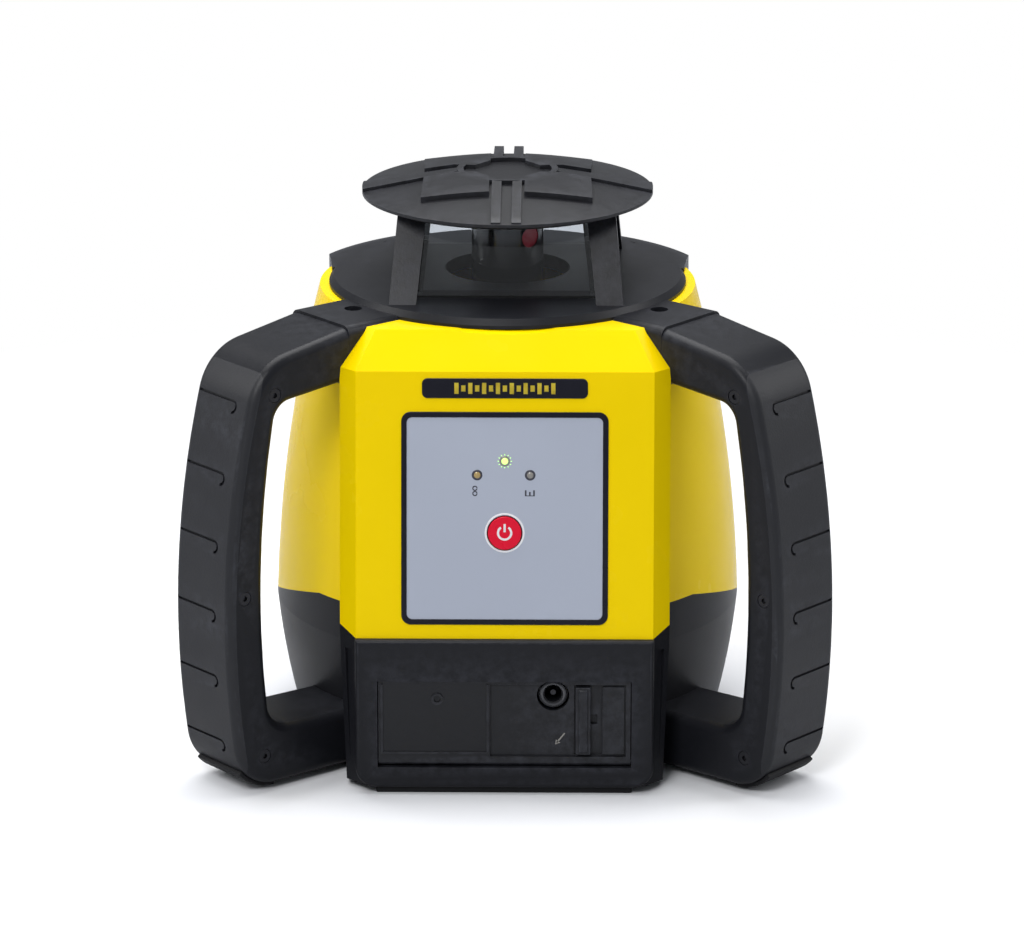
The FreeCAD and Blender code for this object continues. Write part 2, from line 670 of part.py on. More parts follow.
def charging_jack():
    barrel = pipe(JACK_R, 3.2, (JACK_X, -91.9, JACK_Z), (JACK_X, -80, JACK_Z))
    plug = rod(JACK_R, (JACK_X, -80, JACK_Z), (JACK_X, -77, JACK_Z))
    bracket = box(JACK_X - 5, JACK_X + 5, -84, -78, JACK_Z + 3, 46 - TRAY_WALL)
    bore = rod(3.2, (JACK_X, -92, JACK_Z), (JACK_X, -80, JACK_Z))
    pin_hole = rod(1.0, (JACK_X, -92, JACK_Z), (JACK_X, -78, JACK_Z))
    return fuse([barrel, plug, bracket]).cut(bore).cut(pin_hole)


# ---------------------------------------------------------------- base

def foot_plate():
    plate = disc(60, 0, BODY_BASE)
    lip = box(-47, 46.5, -94, -30, 0, BODY_BASE)
    return fuse([plate, lip]).cut(disc(14, -1, 4))


def tripod_insert():
    barrel = ring(12.0, THREAD_R, 0, THREAD_LENGTH)
    flange = ring(19.0, 12.0, BODY_BASE + WALL, BODY_BASE + WALL + 3)
    lid = disc(12.0, THREAD_LENGTH, THREAD_LENGTH + 2)
    return fuse([barrel, flange, lid])


# ---------------------------------------------------------------- levelling unit

def chassis():
    plate = disc(68, CHASSIS_Z, CHASSIS_Z + 3).cut(disc(30, CHASSIS_Z - 1, CHASSIS_Z + 4))
    legs = []
    for side in (-1, 1):
        inner = side * 47.0
        outer = side * 51.0
        x0, x1 = min(inner, outer), max(inner, outer)
        upright = box(x0, x1, -9, 9, CHASSIS_Z + 3, 126)
        window = box(x0 - 1, x1 + 1, -5, 5, CHASSIS_Z + 3, 113)
        legs.append(upright.cut(window))
    frame = fuse([plate] + legs)
    frame = frame.cut(rod(PIN_R + RUN_FIT, (-60, 0, PIVOT_Z), (60, 0, PIVOT_Z)))
    for side in (-1, 1):
        frame = frame.cut(disc(1.6, 50, 70, side * 44, 36))
    return frame


def chassis_screws():
    shank = disc(1.6, 40, CHASSIS_Z + 3, 44, 36)
    head = disc(3.0, CHASSIS_Z + 3, CHASSIS_Z + 5, 44, 36)
    return both_sides(fuse([shank, head]))


def main_board():
    board = box(-36, 36, 58.0, 59.6, CHASSIS_Z + 3, 138)
    chip = box(-9, 9, 56.4, 58.0, 88, 106)
    block = box(18, 30, 52.0, 58.0, 64, 72)
    return fuse([board, chip, block])


def gimbal_ring():
    hoop = ring(RING_OUT, RING_IN, PIVOT_Z - 5, PIVOT_Z + 5)
    low = PIVOT_Z - LEVER_DROP
    arm = polygon_face([(-2, -RING_OUT + 3, PIVOT_Z - 5), (-2, -RING_OUT + 3, PIVOT_Z + 5),
                        (-2, -RING_OUT - 2, PIVOT_Z + 5), (-2, -LEVER_OUT - 3, low + 4),
                        (-2, -LEVER_OUT - 3, low - 3), (-2, -LEVER_OUT + 3, low - 3)])
    hoop = fuse([hoop, arm.extrude(Vector(4, 0, 0))])
    hoop = hoop.cut(rod(PIN_R, (-60, 0, PIVOT_Z), (60, 0, PIVOT_Z)))
    hoop = hoop.cut(rod(PIN_R, (0, -RING_OUT - 1, PIVOT_Z), (0, RING_OUT + 1, PIVOT_Z)))
    return hoop.cut(rod(1.5, (-5, -LEVER_OUT, low), (5, -LEVER_OUT, low)))


def ring_pins():
    return both_sides(rod(PIN_R, (RING_IN + 0.5, 0, PIVOT_Z), (51.0, 0, PIVOT_Z)))


def frame_pins():
    return [rod(PIN_R, (0, side * 27.5, PIVOT_Z), (0, side * (RING_OUT - 0.5), PIVOT_Z)) for side in (-1, 1)]


def lever_pin(toward_front):
    low = PIVOT_Z - LEVER_DROP
    if toward_front:
        return rod(1.5, (-8.2, -LEVER_OUT, low), (8.2, -LEVER_OUT, low))
    return rod(1.5, (-LEVER_OUT, -8.2, low), (-LEVER_OUT, 8.2, low))


def optic_frame():
    collar = disc(COLLAR_R, PIVOT_Z - 8, PIVOT_Z + 8)
    tube = disc(TUBE_R, PIVOT_Z, 157)
    barrel = disc(12.0, 72, PIVOT_Z)
    low = PIVOT_Z - LEVER_DROP
    lever = box(-LEVER_OUT - 3, 0, -2, 2, low - 3, low + 4)
    shelf = disc(9.5, PIVOT_Z + 4, PIVOT_Z + 8, 0, MOTOR_Y)
    frame = fuse([collar, tube, barrel, lever, shelf])
    frame = frame.cut(disc(BEARING_R, 133, 160)).cut(disc(5.0, 100, 140)).cut(disc(9.0, 71, 110))
    frame = frame.cut(rod(PIN_R + RUN_FIT, (0, -40, PIVOT_Z), (0, -27, PIVOT_Z)))
    frame = frame.cut(rod(PIN_R + RUN_FIT, (0, 27, PIVOT_Z), (0, 40, PIVOT_Z)))
    frame = frame.cut(disc(9.2, PIVOT_Z + 8, 160, 0, MOTOR_Y))
    return frame.cut(rod(1.5, (-LEVER_OUT, -5, low), (-LEVER_OUT, 5, low)))


def laser_module():
    return fuse([disc(9.0, 76, 100), disc(4.0, 73, 76)]).cut(disc(2.5, 98, 101))


def collimator_lens():
    return spun([(0, 103), (9, 103), (9, 105), (6, 107), (0, 108)])


def rotor_bearings():
    return [ring(BEARING_R, SHAFT_R, 134, 139), ring(BEARING_R, SHAFT_R, 151, 156)]


def rotor_shaft():
    shaft = ring(SHAFT_R - RUN_FIT, 4.0, 133.5, HEAD_LOW)
    flange = ring(SHAFT_R + 1.5, SHAFT_R - RUN_FIT - 0.5, 156.6, 158.0)
    return fuse([shaft, flange])


def rotor_pulley():
    belt_half = 2.5
    mid = 161.5
    wheel = ring(ROTOR_PULLEY_R, SHAFT_R - RUN_FIT, mid - belt_half, mid + belt_half)
    lips = [ring(ROTOR_PULLEY_R + 1.2, SHAFT_R - RUN_FIT, mid + side * 2.9 - 0.4, mid + side * 2.9 + 0.4)
            for side in (-1, 1)]
    return fuse([wheel] + lips)


def rotor_head():
    shell = spun([(4.0, HEAD_LOW), (HEAD_R - 1.5, HEAD_LOW), (HEAD_R, HEAD_LOW + 1.5),
                  (HEAD_R, HEAD_HIGH - 1.2), (HEAD_R - 1.2, HEAD_HIGH), (0, HEAD_HIGH),
                  (0, HEAD_HIGH - 1.8), (HEAD_R - 1.8, HEAD_HIGH - 1.8), (HEAD_R - 1.8, HEAD_LOW + 3),
                  (4.0, HEAD_LOW + 3)])
    return shell.cut(beam_rod(4.0, 8.0, 20.0))


def beam_rod(radius, near, far):
    angle = math.radians(BEAM_ANGLE)
    direction = (math.cos(angle), math.sin(angle))
    start = (near * direction[0], near * direction[1], BEAM_Z)
    end = (far * direction[0], far * direction[1], BEAM_Z)
    return rod(radius, start, end)


def aperture_window():
    return beam_rod(4.0, HEAD_R - 2.2, HEAD_R - 1.0)


def rotor_prism():
    half = 6.5
    low = BEAM_Z - half
    base = box(-half, half, -half, half, HEAD_LOW + 3, low)
    profile = [(-half, -half, low), (half, -half, low), (half, -half, BEAM_Z + half - 2.5),
               (half - 3.5, -half, BEAM_Z + half), (-half, -half, BEAM_Z + half - 4.5)]
    prism = polygon_face(profile).extrude(Vector(0, 2 * half, 0))
    block = fuse([prism, base.cut(disc(4.0, HEAD_LOW, low + 1))])
    block.rotate(Vector(0, 0, 0), Vector(0, 0, 1), BEAM_ANGLE)
    return block


def rotor_motor():
    can = disc(9.0, PIVOT_Z + 8, 155, 0, MOTOR_Y)
    nose = disc(3.0, 155, 157, 0, MOTOR_Y)
    return fuse([can, nose]).cut(disc(1.0 + RUN_FIT, 140, 158, 0, MOTOR_Y))


def motor_pulley():
    mid = 161.5
    shaft = disc(1.0, 141, 165, 0, MOTOR_Y)
    wheel = disc(MOTOR_PULLEY_R, mid - 2.5, mid + 2.5, 0, MOTOR_Y)
    lips = [disc(MOTOR_PULLEY_R + 1.0, mid + side * 2.9 - 0.4, mid + side * 2.9 + 0.4, 0, MOTOR_Y)
            for side in (-1, 1)]
    return fuse([shaft, wheel] + lips)


def belt_loop(grow):
    # The area inside a belt round both pulleys, grown outwards by grow.
    big = ROTOR_PULLEY_R + grow
    small = MOTOR_PULLEY_R + grow
    tilt = math.asin((big - small) / MOTOR_Y)
    corners = []
    for side in (1, -1):
        normal = (side * math.cos(tilt), math.sin(tilt))
        near = (big * normal[0], big * normal[1])
        far = (small * normal[0], MOTOR_Y + small * normal[1])
        corners += [near, far] if side > 0 else [far, near]
    body = polygon_face([(x, y, 160.0) for x, y in corners]).extrude(Vector(0, 0, 3.0))
    return fuse([body, disc(big, 160, 163), disc(small, 160, 163, 0, MOTOR_Y)])


def drive_belt():
    return belt_loop(BELT_THICK + RUN_FIT).cut(belt_loop(RUN_FIT))


def levelling_motor():
    can = disc(8.0, CHASSIS_Z + 3, 70, 0, -LEVER_OUT)
    return can.cut(disc(1.5 + RUN_FIT, 62, 71, 0, -LEVER_OUT))


def lead_screw():
    return disc(1.5, 62.2, 92.0, 0, -LEVER_OUT)


def levelling_nut():
    low = PIVOT_Z - LEVER_DROP
    y = -LEVER_OUT
    block = box(-6.5, 6.5, y - 5, y + 5, 77.5, 88.5)
    prongs = [box(x, x + 2, y - 5, y + 5, 88.5, low + 5) for x in (-6.5, 4.5)]
    nut = fuse([block] + prongs)
    slot = box(-8, 8, y - 3.8, y + 6, low - 2.6, low + 2.6)
    return nut.cut(slot).cut(disc(1.5 + RUN_FIT, 70, 90, 0, y))


def to_side(shape):
    # The second levelling drive is the first one turned a quarter, onto the -X side.
    turned = shape.copy()
    turned.rotate(Vector(0, 0, 0), Vector(0, 0, 1), -90)
    return turned


# ---------------------------------------------------------------- export

def save(name, shape):
    if isinstance(shape, (list, tuple)):
        shape = Part.makeCompound(list(shape))
    shape.exportStep("parts/" + name + ".step")
    print(name, len(shape.Solids), round(shape.Volume, 1), shape.isValid())


def main():
    os.makedirs("parts", exist_ok=True)
    body = body_solid(0.0)
    shell = body_shell()
    cover = top_cover(body)
    side_panes = both_sides(side_pane().cut(cover))
    front = front_pane(cover)
    frame_left = handle_frame(body)
    grip_left = in_arm_plane(handle_grip(), ARM_ANGLE)
    foot_left = in_arm_plane(foot_pad().cut(handle_solid()), ARM_ANGLE)

    save("lower_housing", lower_housing(shell))
    save("bay_frame", bay_frame())
    save("upper_housing", upper_housing(shell))
    save("housing_gasket", housing_gasket())
    save("top_cover", cover)
    save("top_cover_gasket", ring(62.0, 60.0, BODY_TOP - 1.0, BODY_TOP))
    save("top_cover_screws", top_cover_screws())
    save("window_panes", side_panes + [front, front.mirror(Vector(0, 0, 0), Vector(0, 1, 0))])
    save("top_cap", top_cap())
    save("handle_frame_left", frame_left)
    save("handle_frame_right", frame_left.mirror(Vector(0, 0, 0), Vector(1, 0, 0)))
    save("handle_grip_left", grip_left)
    save("handle_grip_right", grip_left.mirror(Vector(0, 0, 0), Vector(1, 0, 0)))
    save("handle_screws", handle_screws())
    save("handle_feet", both_sides(foot_left))
    save("control_panel", on_front(control_panel()))
    save("panel_frame", on_front(panel_frame()))
    save("name_plate", on_front(name_plate()))
    save("status_lights", status_lights())
    save("power_button", on_front(power_button()))
    save("button_switch", on_front(button_switch()))
    save("panel_board", on_front(panel_board()))
    save("board_screws", board_screws())
    save("battery_door", battery_door())
    save("door_hinge_pin", hinge_line(-DOOR_HALF - 4.8, DOOR_HALF + 4.8, DOOR_PIN_R))
    save("door_latch", door_latch())
    save("battery_tray", battery_tray())
    save("battery_cells", battery_cells())
    save("battery_contacts", battery_contacts())
    save("charging_jack", charging_jack())
    save("jack_pin", rod(1.0, (JACK_X, -90.5, JACK_Z), (JACK_X, -78, JACK_Z)))
    save("foot_plate", foot_plate())
    save("tripod_insert", tripod_insert())
    save("chassis", chassis())
    save("chassis_screws", chassis_screws())
    save("main_board", main_board())
    save("gimbal_ring", gimbal_ring())
    save("ring_pins", ring_pins())
    save("frame_pins", frame_pins())
    save("lever_pin_front", lever_pin(True))
    save("lever_pin_side", lever_pin(False))
    save("optic_frame", optic_frame())
    save("laser_module", laser_module())
    save("collimator_lens", collimator_lens())
    save("rotor_bearings", rotor_bearings())
    save("rotor_shaft", rotor_shaft())
    save("rotor_pulley", rotor_pulley())
    save("rotor_head", rotor_head())
    save("aperture_window", aperture_window())
    save("rotor_prism", rotor_prism())
    save("rotor_motor", rotor_motor())
    save("motor_pulley", motor_pulley())
    save("drive_belt", drive_belt())
    save("levelling_motors", [levelling_motor(), to_side(levelling_motor())])
    save("lead_screw_front", lead_screw())
    save("lead_screw_side", to_side(lead_screw()))
    save("levelling_nut_front", levelling_nut())
    save("levelling_nut_side", to_side(levelling_nut()))


main()
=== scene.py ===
import json
import math

import bmesh
import bpy
from mathutils import Matrix, Vector


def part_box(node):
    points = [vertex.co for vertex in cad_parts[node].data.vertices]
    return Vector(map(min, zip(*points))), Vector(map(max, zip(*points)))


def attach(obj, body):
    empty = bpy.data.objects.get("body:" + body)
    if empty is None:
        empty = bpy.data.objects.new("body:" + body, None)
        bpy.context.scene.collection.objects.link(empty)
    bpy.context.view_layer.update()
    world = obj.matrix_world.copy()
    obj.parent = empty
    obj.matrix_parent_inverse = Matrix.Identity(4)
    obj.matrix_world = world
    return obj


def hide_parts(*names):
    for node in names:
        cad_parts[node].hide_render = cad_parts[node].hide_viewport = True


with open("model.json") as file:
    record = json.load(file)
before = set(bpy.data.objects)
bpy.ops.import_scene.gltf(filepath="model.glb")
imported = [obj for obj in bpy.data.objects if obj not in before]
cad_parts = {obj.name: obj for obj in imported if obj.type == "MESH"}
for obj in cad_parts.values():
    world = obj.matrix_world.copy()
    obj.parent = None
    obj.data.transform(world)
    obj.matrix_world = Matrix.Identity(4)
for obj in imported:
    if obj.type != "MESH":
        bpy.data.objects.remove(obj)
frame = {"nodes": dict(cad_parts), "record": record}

# Looks for a rotary laser level: finishes, softened mouldings, screws, marks, studio and camera.
# Metres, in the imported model's own frame: +Z up, -Y is the front with the control panel.

NODES = frame["nodes"]
BODIES = frame["record"]["behaviour"]["bodies"]
BODY_OF = {node: body for body, members in BODIES.items() for node in members}
SLOT_OF = {part["node"]: part["material_slot"] for part in frame["record"]["subparts"]}
MM = 0.001
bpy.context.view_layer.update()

BLACK = (0.0092, 0.0097, 0.0125)
YELLOW = (0.90, 0.64, 0.0)

# The flat shoulder between the leaning front and the deck: a place on its lower edge, its outward
# direction, its half width, and how far the round body may stand proud of it.
SHOULDER_FOOT = Vector((0, -77.8, 155.7)) * MM
SHOULDER_OUTWARD = Vector((0, -12.8, 10.8)).normalized()
SHOULDER_HALF = 50.0 * MM
SHOULDER_PROUD = 4.0 * MM
DOOR_ARROW = Vector((20.5, -94.1, 21.5)) * MM


# ---------------------------------------------------------------- node helpers

def set_inputs(node, **values):
    for name, value in values.items():
        node.inputs[name.replace("_", " ")].default_value = value
    return node


def new_group(name, inputs, outputs):
    # A shader node group with float inputs; outputs are (name, kind) pairs.
    group = bpy.data.node_groups.new(name, "ShaderNodeTree")
    for label, default in inputs:
        socket = group.interface.new_socket(label, in_out="INPUT", socket_type="NodeSocketFloat")
        socket.default_value = default
    for label, kind in outputs:
        group.interface.new_socket(label, in_out="OUTPUT", socket_type=kind)
    nodes = group.nodes
    return group, nodes.new("NodeGroupInput"), nodes.new("NodeGroupOutput")


def math_node(tree, operation, first, second=0.5, clamp=False):
    node = tree.nodes.new("ShaderNodeMath")
    node.operation = operation
    node.use_clamp = clamp
    for index, value in enumerate((first, second)):
        if isinstance(value, (int, float)):
            node.inputs[index].default_value = value
        else:
            tree.links.new(value, node.inputs[index])
    return node.outputs[0]


def object_place(tree):
    return tree.nodes.new("ShaderNodeTexCoord").outputs["Object"]


def noise(tree, place, scale, detail=2.0, roughness=0.5):
    node = tree.nodes.new("ShaderNodeTexNoise")
    tree.links.new(place, node.inputs["Vector"])
    if isinstance(scale, (int, float)):
        node.inputs["Scale"].default_value = scale
    else:
        tree.links.new(scale, node.inputs["Scale"])
    node.inputs["Detail"].default_value = detail
    node.inputs["Roughness"].default_value = roughness
    return node.outputs["Fac"]


def remap(tree, value, low, high, to_low, to_high):
    node = tree.nodes.new("ShaderNodeMapRange")
    tree.links.new(value, node.inputs["Value"])
    set_inputs(node, From_Min=low, From_Max=high, To_Min=to_low, To_Max=to_high)
    return node.outputs["Result"]


def mix_colour(tree, factor, first, second):
    node = tree.nodes.new("ShaderNodeMix")
    node.data_type = "RGBA"
    for label, value in (("Factor", factor), ("A", first), ("B", second)):
        socket = node.inputs[label]
        if isinstance(value, tuple):
            value = value if len(value) == 4 else value + (1.0,)
            socket.default_value = value
        elif isinstance(value, (int, float)):
            socket.default_value = value
        else:
            tree.links.new(value, socket)
    return node.outputs["Result"]


def shaded(colour, factor):
    return tuple(min(1.0, channel * factor) for channel in colour)


# ---------------------------------------------------------------- shared effects

def build_moulded_surface():
    # Fine mould grain as a height, a slow tint, and short scuffs.
    group, start, end = new_group(
        "moulded_surface",
        (("Grain Scale", 1800.0), ("Tint Scale", 26.0), ("Scuff Scale", 120.0)),
        (("Height", "NodeSocketFloat"), ("Tint", "NodeSocketFloat"), ("Scuffs", "NodeSocketFloat")))
    place = object_place(group)
    grain = noise(group, place, start.outputs["Grain Scale"], detail=3.0, roughness=0.6)
    group.links.new(grain, end.inputs["Height"])
    tint = noise(group, place, start.outputs["Tint Scale"], detail=4.0)
    group.links.new(tint, end.inputs["Tint"])
    stretch = group.nodes.new("ShaderNodeMapping")
    stretch.inputs["Rotation"].default_value = (0.4, 0.9, 0.6)
    stretch.inputs["Scale"].default_value = (1.0, 7.0, 2.5)
    group.links.new(place, stretch.inputs["Vector"])
    streak = noise(group, stretch.outputs["Vector"], start.outputs["Scuff Scale"], detail=5.0,
                   roughness=0.7)
    scuffs = remap(group, streak, 0.66, 0.78, 0.0, 1.0)
    group.links.new(scuffs, end.inputs["Scuffs"])
    return group


def build_edge_wear_and_highlight():
    # Where a rounded edge has been rubbed, and where it gets a painted highlight: the piece's edge
    # attribute, broken up by noise.
    group, start, end = new_group(
        "edge_wear_and_highlight", (("Breakup Scale", 240.0), ("Amount", 0.5)), (("Wear_And_Highlight", "NodeSocketFloat"),))
    edge = group.nodes.new("ShaderNodeAttribute")
    edge.attribute_name = "edge"
    broken = noise(group, object_place(group), start.outputs["Breakup Scale"], detail=6.0, roughness=0.65)
    patches = remap(group, broken, 0.38, 0.62, 0.0, 1.0)
    rubbed_and_highlit = math_node(group, "MULTIPLY", edge.outputs["Fac"], patches)
    wear_and_highlight = math_node(group, "MULTIPLY", rubbed_and_highlit, start.outputs["Amount"], clamp=True)
    group.links.new(wear_and_highlight, end.inputs["Wear_And_Highlight"])
    return group


def build_brushed():
    # Fine turning or brushing lines for bare metal, along the chosen stretch.
    group, start, end = new_group(
        "brushed_lines", (("Line Scale", 900.0),), (("Lines", "NodeSocketFloat"),))
    stretch = group.nodes.new("ShaderNodeMapping")
    stretch.inputs["Scale"].default_value = (1.0, 1.0, 18.0)
    group.links.new(object_place(group), stretch.inputs["Vector"])
    lines = noise(group, stretch.outputs["Vector"], start.outputs["Line Scale"], detail=2.0)
    group.links.new(lines, end.inputs["Lines"])
    return group


MOULDED = build_moulded_surface()
EDGE_WEAR_AND_HIGHLIGHT = build_edge_wear_and_highlight()
BRUSHED = build_brushed()


def use_group(tree, group, **values):
    node = tree.nodes.new("ShaderNodeGroup")
    node.node_tree = group
    return set_inputs(node, **values)


def new_material(name):
    material = bpy.data.materials.new(name)
    material.use_nodes = True
    tree = material.node_tree
    return material, tree, tree.nodes["Principled BSDF"]


def add_bump(tree, shader, height, depth, strength=1.0):
    bump = tree.nodes.new("ShaderNodeBump")
    bump.inputs["Strength"].default_value = strength
    bump.inputs["Distance"].default_value = depth
    tree.links.new(height, bump.inputs["Height"])
    tree.links.new(bump.outputs["Normal"], shader.inputs["Normal"])


# ---------------------------------------------------------------- materials

def moulded_plastic(name, colour, roughness, grain=1800.0, depth=0.02 * MM, tint=0.10, wear_and_highlight=0.35, scuff=0.4,
                    specular=0.5, coat=0.0, pale=1.9):
    material, tree, shader = new_material(name)
    surface = use_group(tree, MOULDED, Grain_Scale=grain)
    rubbed_and_highlit = use_group(tree, EDGE_WEAR_AND_HIGHLIGHT, Amount=wear_and_highlight)
    base = mix_colour(tree, surface.outputs["Tint"], shaded(colour, 1 - tint), shaded(colour, 1 + tint))
    # Scuffs and rubbed edges are real wear. The edge mask also carries painted highlights, made paler by
    # the pale factor, and these are strong on the black mouldings.
    scuffed = math_node(tree, "MULTIPLY", surface.outputs["Scuffs"], scuff)
    marks = math_node(tree, "MAXIMUM", scuffed, rubbed_and_highlit.outputs["Wear_And_Highlight"], clamp=True)
    worn_and_highlit = tuple(channel * pale + 0.008 for channel in colour)
    tree.links.new(mix_colour(tree, marks, base, worn_and_highlit), shader.inputs["Base Color"])
    uneven = remap(tree, surface.outputs["Tint"], 0.3, 0.7, roughness - 0.05, roughness + 0.05)
    rough = math_node(tree, "ADD", uneven, math_node(tree, "MULTIPLY", marks, 0.12), clamp=True)
    tree.links.new(rough, shader.inputs["Roughness"])
    shader.inputs["Specular IOR Level"].default_value = specular
    shader.inputs["Coat Weight"].default_value = coat
    shader.inputs["Coat Roughness"].default_value = 0.08
    add_bump(tree, shader, surface.outputs["Height"], depth)
    return material


def bare_metal(name, colour, roughness, line_scale=900.0):
    material, tree, shader = new_material(name)
    lines = use_group(tree, BRUSHED, Line_Scale=line_scale)
    base = mix_colour(tree, lines.outputs["Lines"], shaded(colour, 0.82), shaded(colour, 1.1))
    tree.links.new(base, shader.inputs["Base Color"])
    rough = remap(tree, lines.outputs["Lines"], 0.2, 0.8, roughness - 0.08, roughness + 0.1)
    tree.links.new(rough, shader.inputs["Roughness"])
    shader.inputs["Metallic"].default_value = 1.0
    add_bump(tree, shader, lines.outputs["Lines"], 0.01 * MM)
    return material


def window_glass(name, colour, specular=0.5):
    # Clear glass; dust smears roughen it a little in patches.
    material, tree, shader = new_material(name)
    surface = use_group(tree, MOULDED, Tint_Scale=40.0)
    rough = remap(tree, surface.outputs["Tint"], 0.62, 0.8, 0.0, 0.02)
    tree.links.new(rough, shader.inputs["Roughness"])
    base = mix_colour(tree, surface.outputs["Tint"], shaded(colour, 0.98), colour)
    tree.links.new(base, shader.inputs["Base Color"])
    shader.inputs["Specular IOR Level"].default_value = specular
    shader.inputs["Transmission Weight"].default_value = 1.0
    shader.inputs["IOR"].default_value = 1.45
    return material


def glowing(name, colour, glow, strength, patches=700.0):
    material, tree, shader = new_material(name)
    surface = use_group(tree, MOULDED, Grain_Scale=patches)
    base = mix_colour(tree, surface.outputs["Height"], shaded(colour, 0.8), shaded(colour, 1.2))
    tree.links.new(base, shader.inputs["Base Color"])
    shader.inputs["Roughness"].default_value = 0.2
    light = mix_colour(tree, surface.outputs["Height"], shaded(glow, 0.85), glow)
    tree.links.new(light, shader.inputs["Emission Color"])
    shader.inputs["Emission Strength"].default_value = strength
    return material


def printed_board(name):
    material, tree, shader = new_material(name)
    place = object_place(tree)
    cells = tree.nodes.new("ShaderNodeTexVoronoi")
    cells.inputs["Scale"].default_value = 260.0
    cells.distance = "MANHATTAN"
    tree.links.new(place, cells.inputs["Vector"])
    tracks = remap(tree, cells.outputs["Distance"], 0.10, 0.13, 1.0, 0.0)
    base = mix_colour(tree, tracks, (0.012, 0.12, 0.05), (0.05, 0.30, 0.13))
    tree.links.new(base, shader.inputs["Base Color"])
    rough = remap(tree, tracks, 0.0, 1.0, 0.32, 0.45)
    tree.links.new(rough, shader.inputs["Roughness"])
    add_bump(tree, shader, tracks, 0.03 * MM)
    return material


MATERIALS = {
    "yellow_shell": moulded_plastic("yellow_shell", YELLOW, 0.24, grain=900.0, depth=0.004 * MM, tint=0.03,
                                    wear_and_highlight=0.06, scuff=0.02, specular=0.12, pale=1.05),
    # The black mouldings take a large pale factor, so their rounded edges are lit up with painted
    # highlights as well as showing their real rubbing.
    "black_shell": moulded_plastic("black_shell", BLACK, 0.37, grain=1500.0, depth=0.05 * MM, tint=0.15,
                                   wear_and_highlight=0.6, scuff=0.1, specular=0.22, pale=4.5),
    "black_trim": moulded_plastic("black_trim", shaded(BLACK, 0.8), 0.38, grain=1500.0, depth=0.04 * MM,
                                  wear_and_highlight=0.8, scuff=0.1, specular=0.35, pale=5.5),
    "grip_rubber": moulded_plastic("grip_rubber", shaded(BLACK, 1.15), 0.5, grain=1300.0, depth=0.07 * MM,
                                   wear_and_highlight=0.5, scuff=0.1, specular=0.4, pale=4.0),
    "foot_rubber": moulded_plastic("foot_rubber", (0.006, 0.006, 0.007), 0.6, grain=1200.0, depth=0.05 * MM,
                                   specular=0.3),
    "seal_rubber": moulded_plastic("seal_rubber", (0.012, 0.012, 0.012), 0.6, grain=1500.0),
    "panel_grey": moulded_plastic("panel_grey", (0.40, 0.435, 0.52), 0.34, grain=3200.0, depth=0.004 * MM,
                                  tint=0.025, wear_and_highlight=0.03, scuff=0.04, specular=0.4, pale=1.1),
    "panel_black": moulded_plastic("panel_black", (0.004, 0.004, 0.010), 0.24, grain=2600.0,
                                   depth=0.006 * MM, wear_and_highlight=0.15, scuff=0.1, specular=0.4),
    "red_button": moulded_plastic("red_button", (0.72, 0.005, 0.030), 0.30, grain=2000.0, depth=0.004 * MM,
                                  tint=0.06, wear_and_highlight=0.04, scuff=0.04, specular=0.3, pale=1.1),
    "light_lens": moulded_plastic("light_lens", (0.25, 0.24, 0.22), 0.15, grain=1500.0, depth=0.004 * MM),
    "amber_lens": moulded_plastic("amber_lens", (0.42, 0.30, 0.12), 0.15, grain=1500.0, depth=0.004 * MM),
    "window_glass": window_glass("window_glass", (0.96, 0.985, 1.0), specular=0.08),
    # The jack's mouth is a grey lighter than the casing's black: painted light that lifts it out of the
    # battery door's shade.
    "jack_rim": moulded_plastic("jack_rim", (0.045, 0.046, 0.052), 0.16, grain=1500.0, depth=0.004 * MM,
                                wear_and_highlight=0.2, scuff=0.1, coat=0.5),
    "head_black": moulded_plastic("head_black", (0.006, 0.006, 0.007), 0.14, grain=1200.0, depth=0.002 * MM,
                                  wear_and_highlight=0.1, scuff=0.05, coat=0.4),
    # The aperture window's faint red glow, in patches, is painted light standing in for the bright spots in
    # its red glass.
    "aperture_red": glowing("aperture_red", (0.10, 0.0, 0.006), (0.40, 0.0, 0.02), 0.12, patches=900.0),
    "steel": bare_metal("steel", (0.56, 0.57, 0.59), 0.28),
    "dark_screw": bare_metal("dark_screw", (0.05, 0.05, 0.055), 0.35),
    "brass": bare_metal("brass", (0.78, 0.57, 0.25), 0.25),
    "aluminium": bare_metal("aluminium", (0.66, 0.67, 0.69), 0.34, line_scale=600.0),
    "board_green": printed_board("board_green"),
    "cell_sleeve": moulded_plastic("cell_sleeve", (0.05, 0.12, 0.32), 0.3, grain=900.0, wear_and_highlight=0.1),
    "optic_glass": window_glass("optic_glass", (0.90, 0.95, 1.0)),
    "inner_plastic": moulded_plastic("inner_plastic", (0.05, 0.05, 0.055), 0.5, grain=1600.0),
    "white_print": moulded_plastic("white_print", (0.80, 0.80, 0.82), 0.45, grain=2600.0, depth=0.002 * MM,
                                   wear_and_highlight=0.0, scuff=0.1, pale=0.9),
    "dark_print": moulded_plastic("dark_print", (0.035, 0.035, 0.05), 0.45, grain=2600.0, depth=0.002 * MM,
                                  wear_and_highlight=0.0, scuff=0.0),
    "yellow_print": moulded_plastic("yellow_print", (0.95, 0.74, 0.06), 0.45, grain=2600.0,
                                    depth=0.002 * MM, wear_and_highlight=0.0, scuff=0.2, pale=0.8),
    "green_light": glowing("green_light", (0.35, 0.75, 0.10), (0.55, 1.0, 0.22), 1.6),
}


# ---------------------------------------------------------------- mesh helpers

def add_piece(name, mesh, node, material):
    # A finished piece that rides with the body of the CAD node it belongs to.
    piece = bpy.data.objects.new(name, mesh)
    bpy.context.scene.collection.objects.link(piece)
    piece.data.materials.clear()
    piece.data.materials.append(MATERIALS[material])
    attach(piece, BODY_OF[node])
    return piece


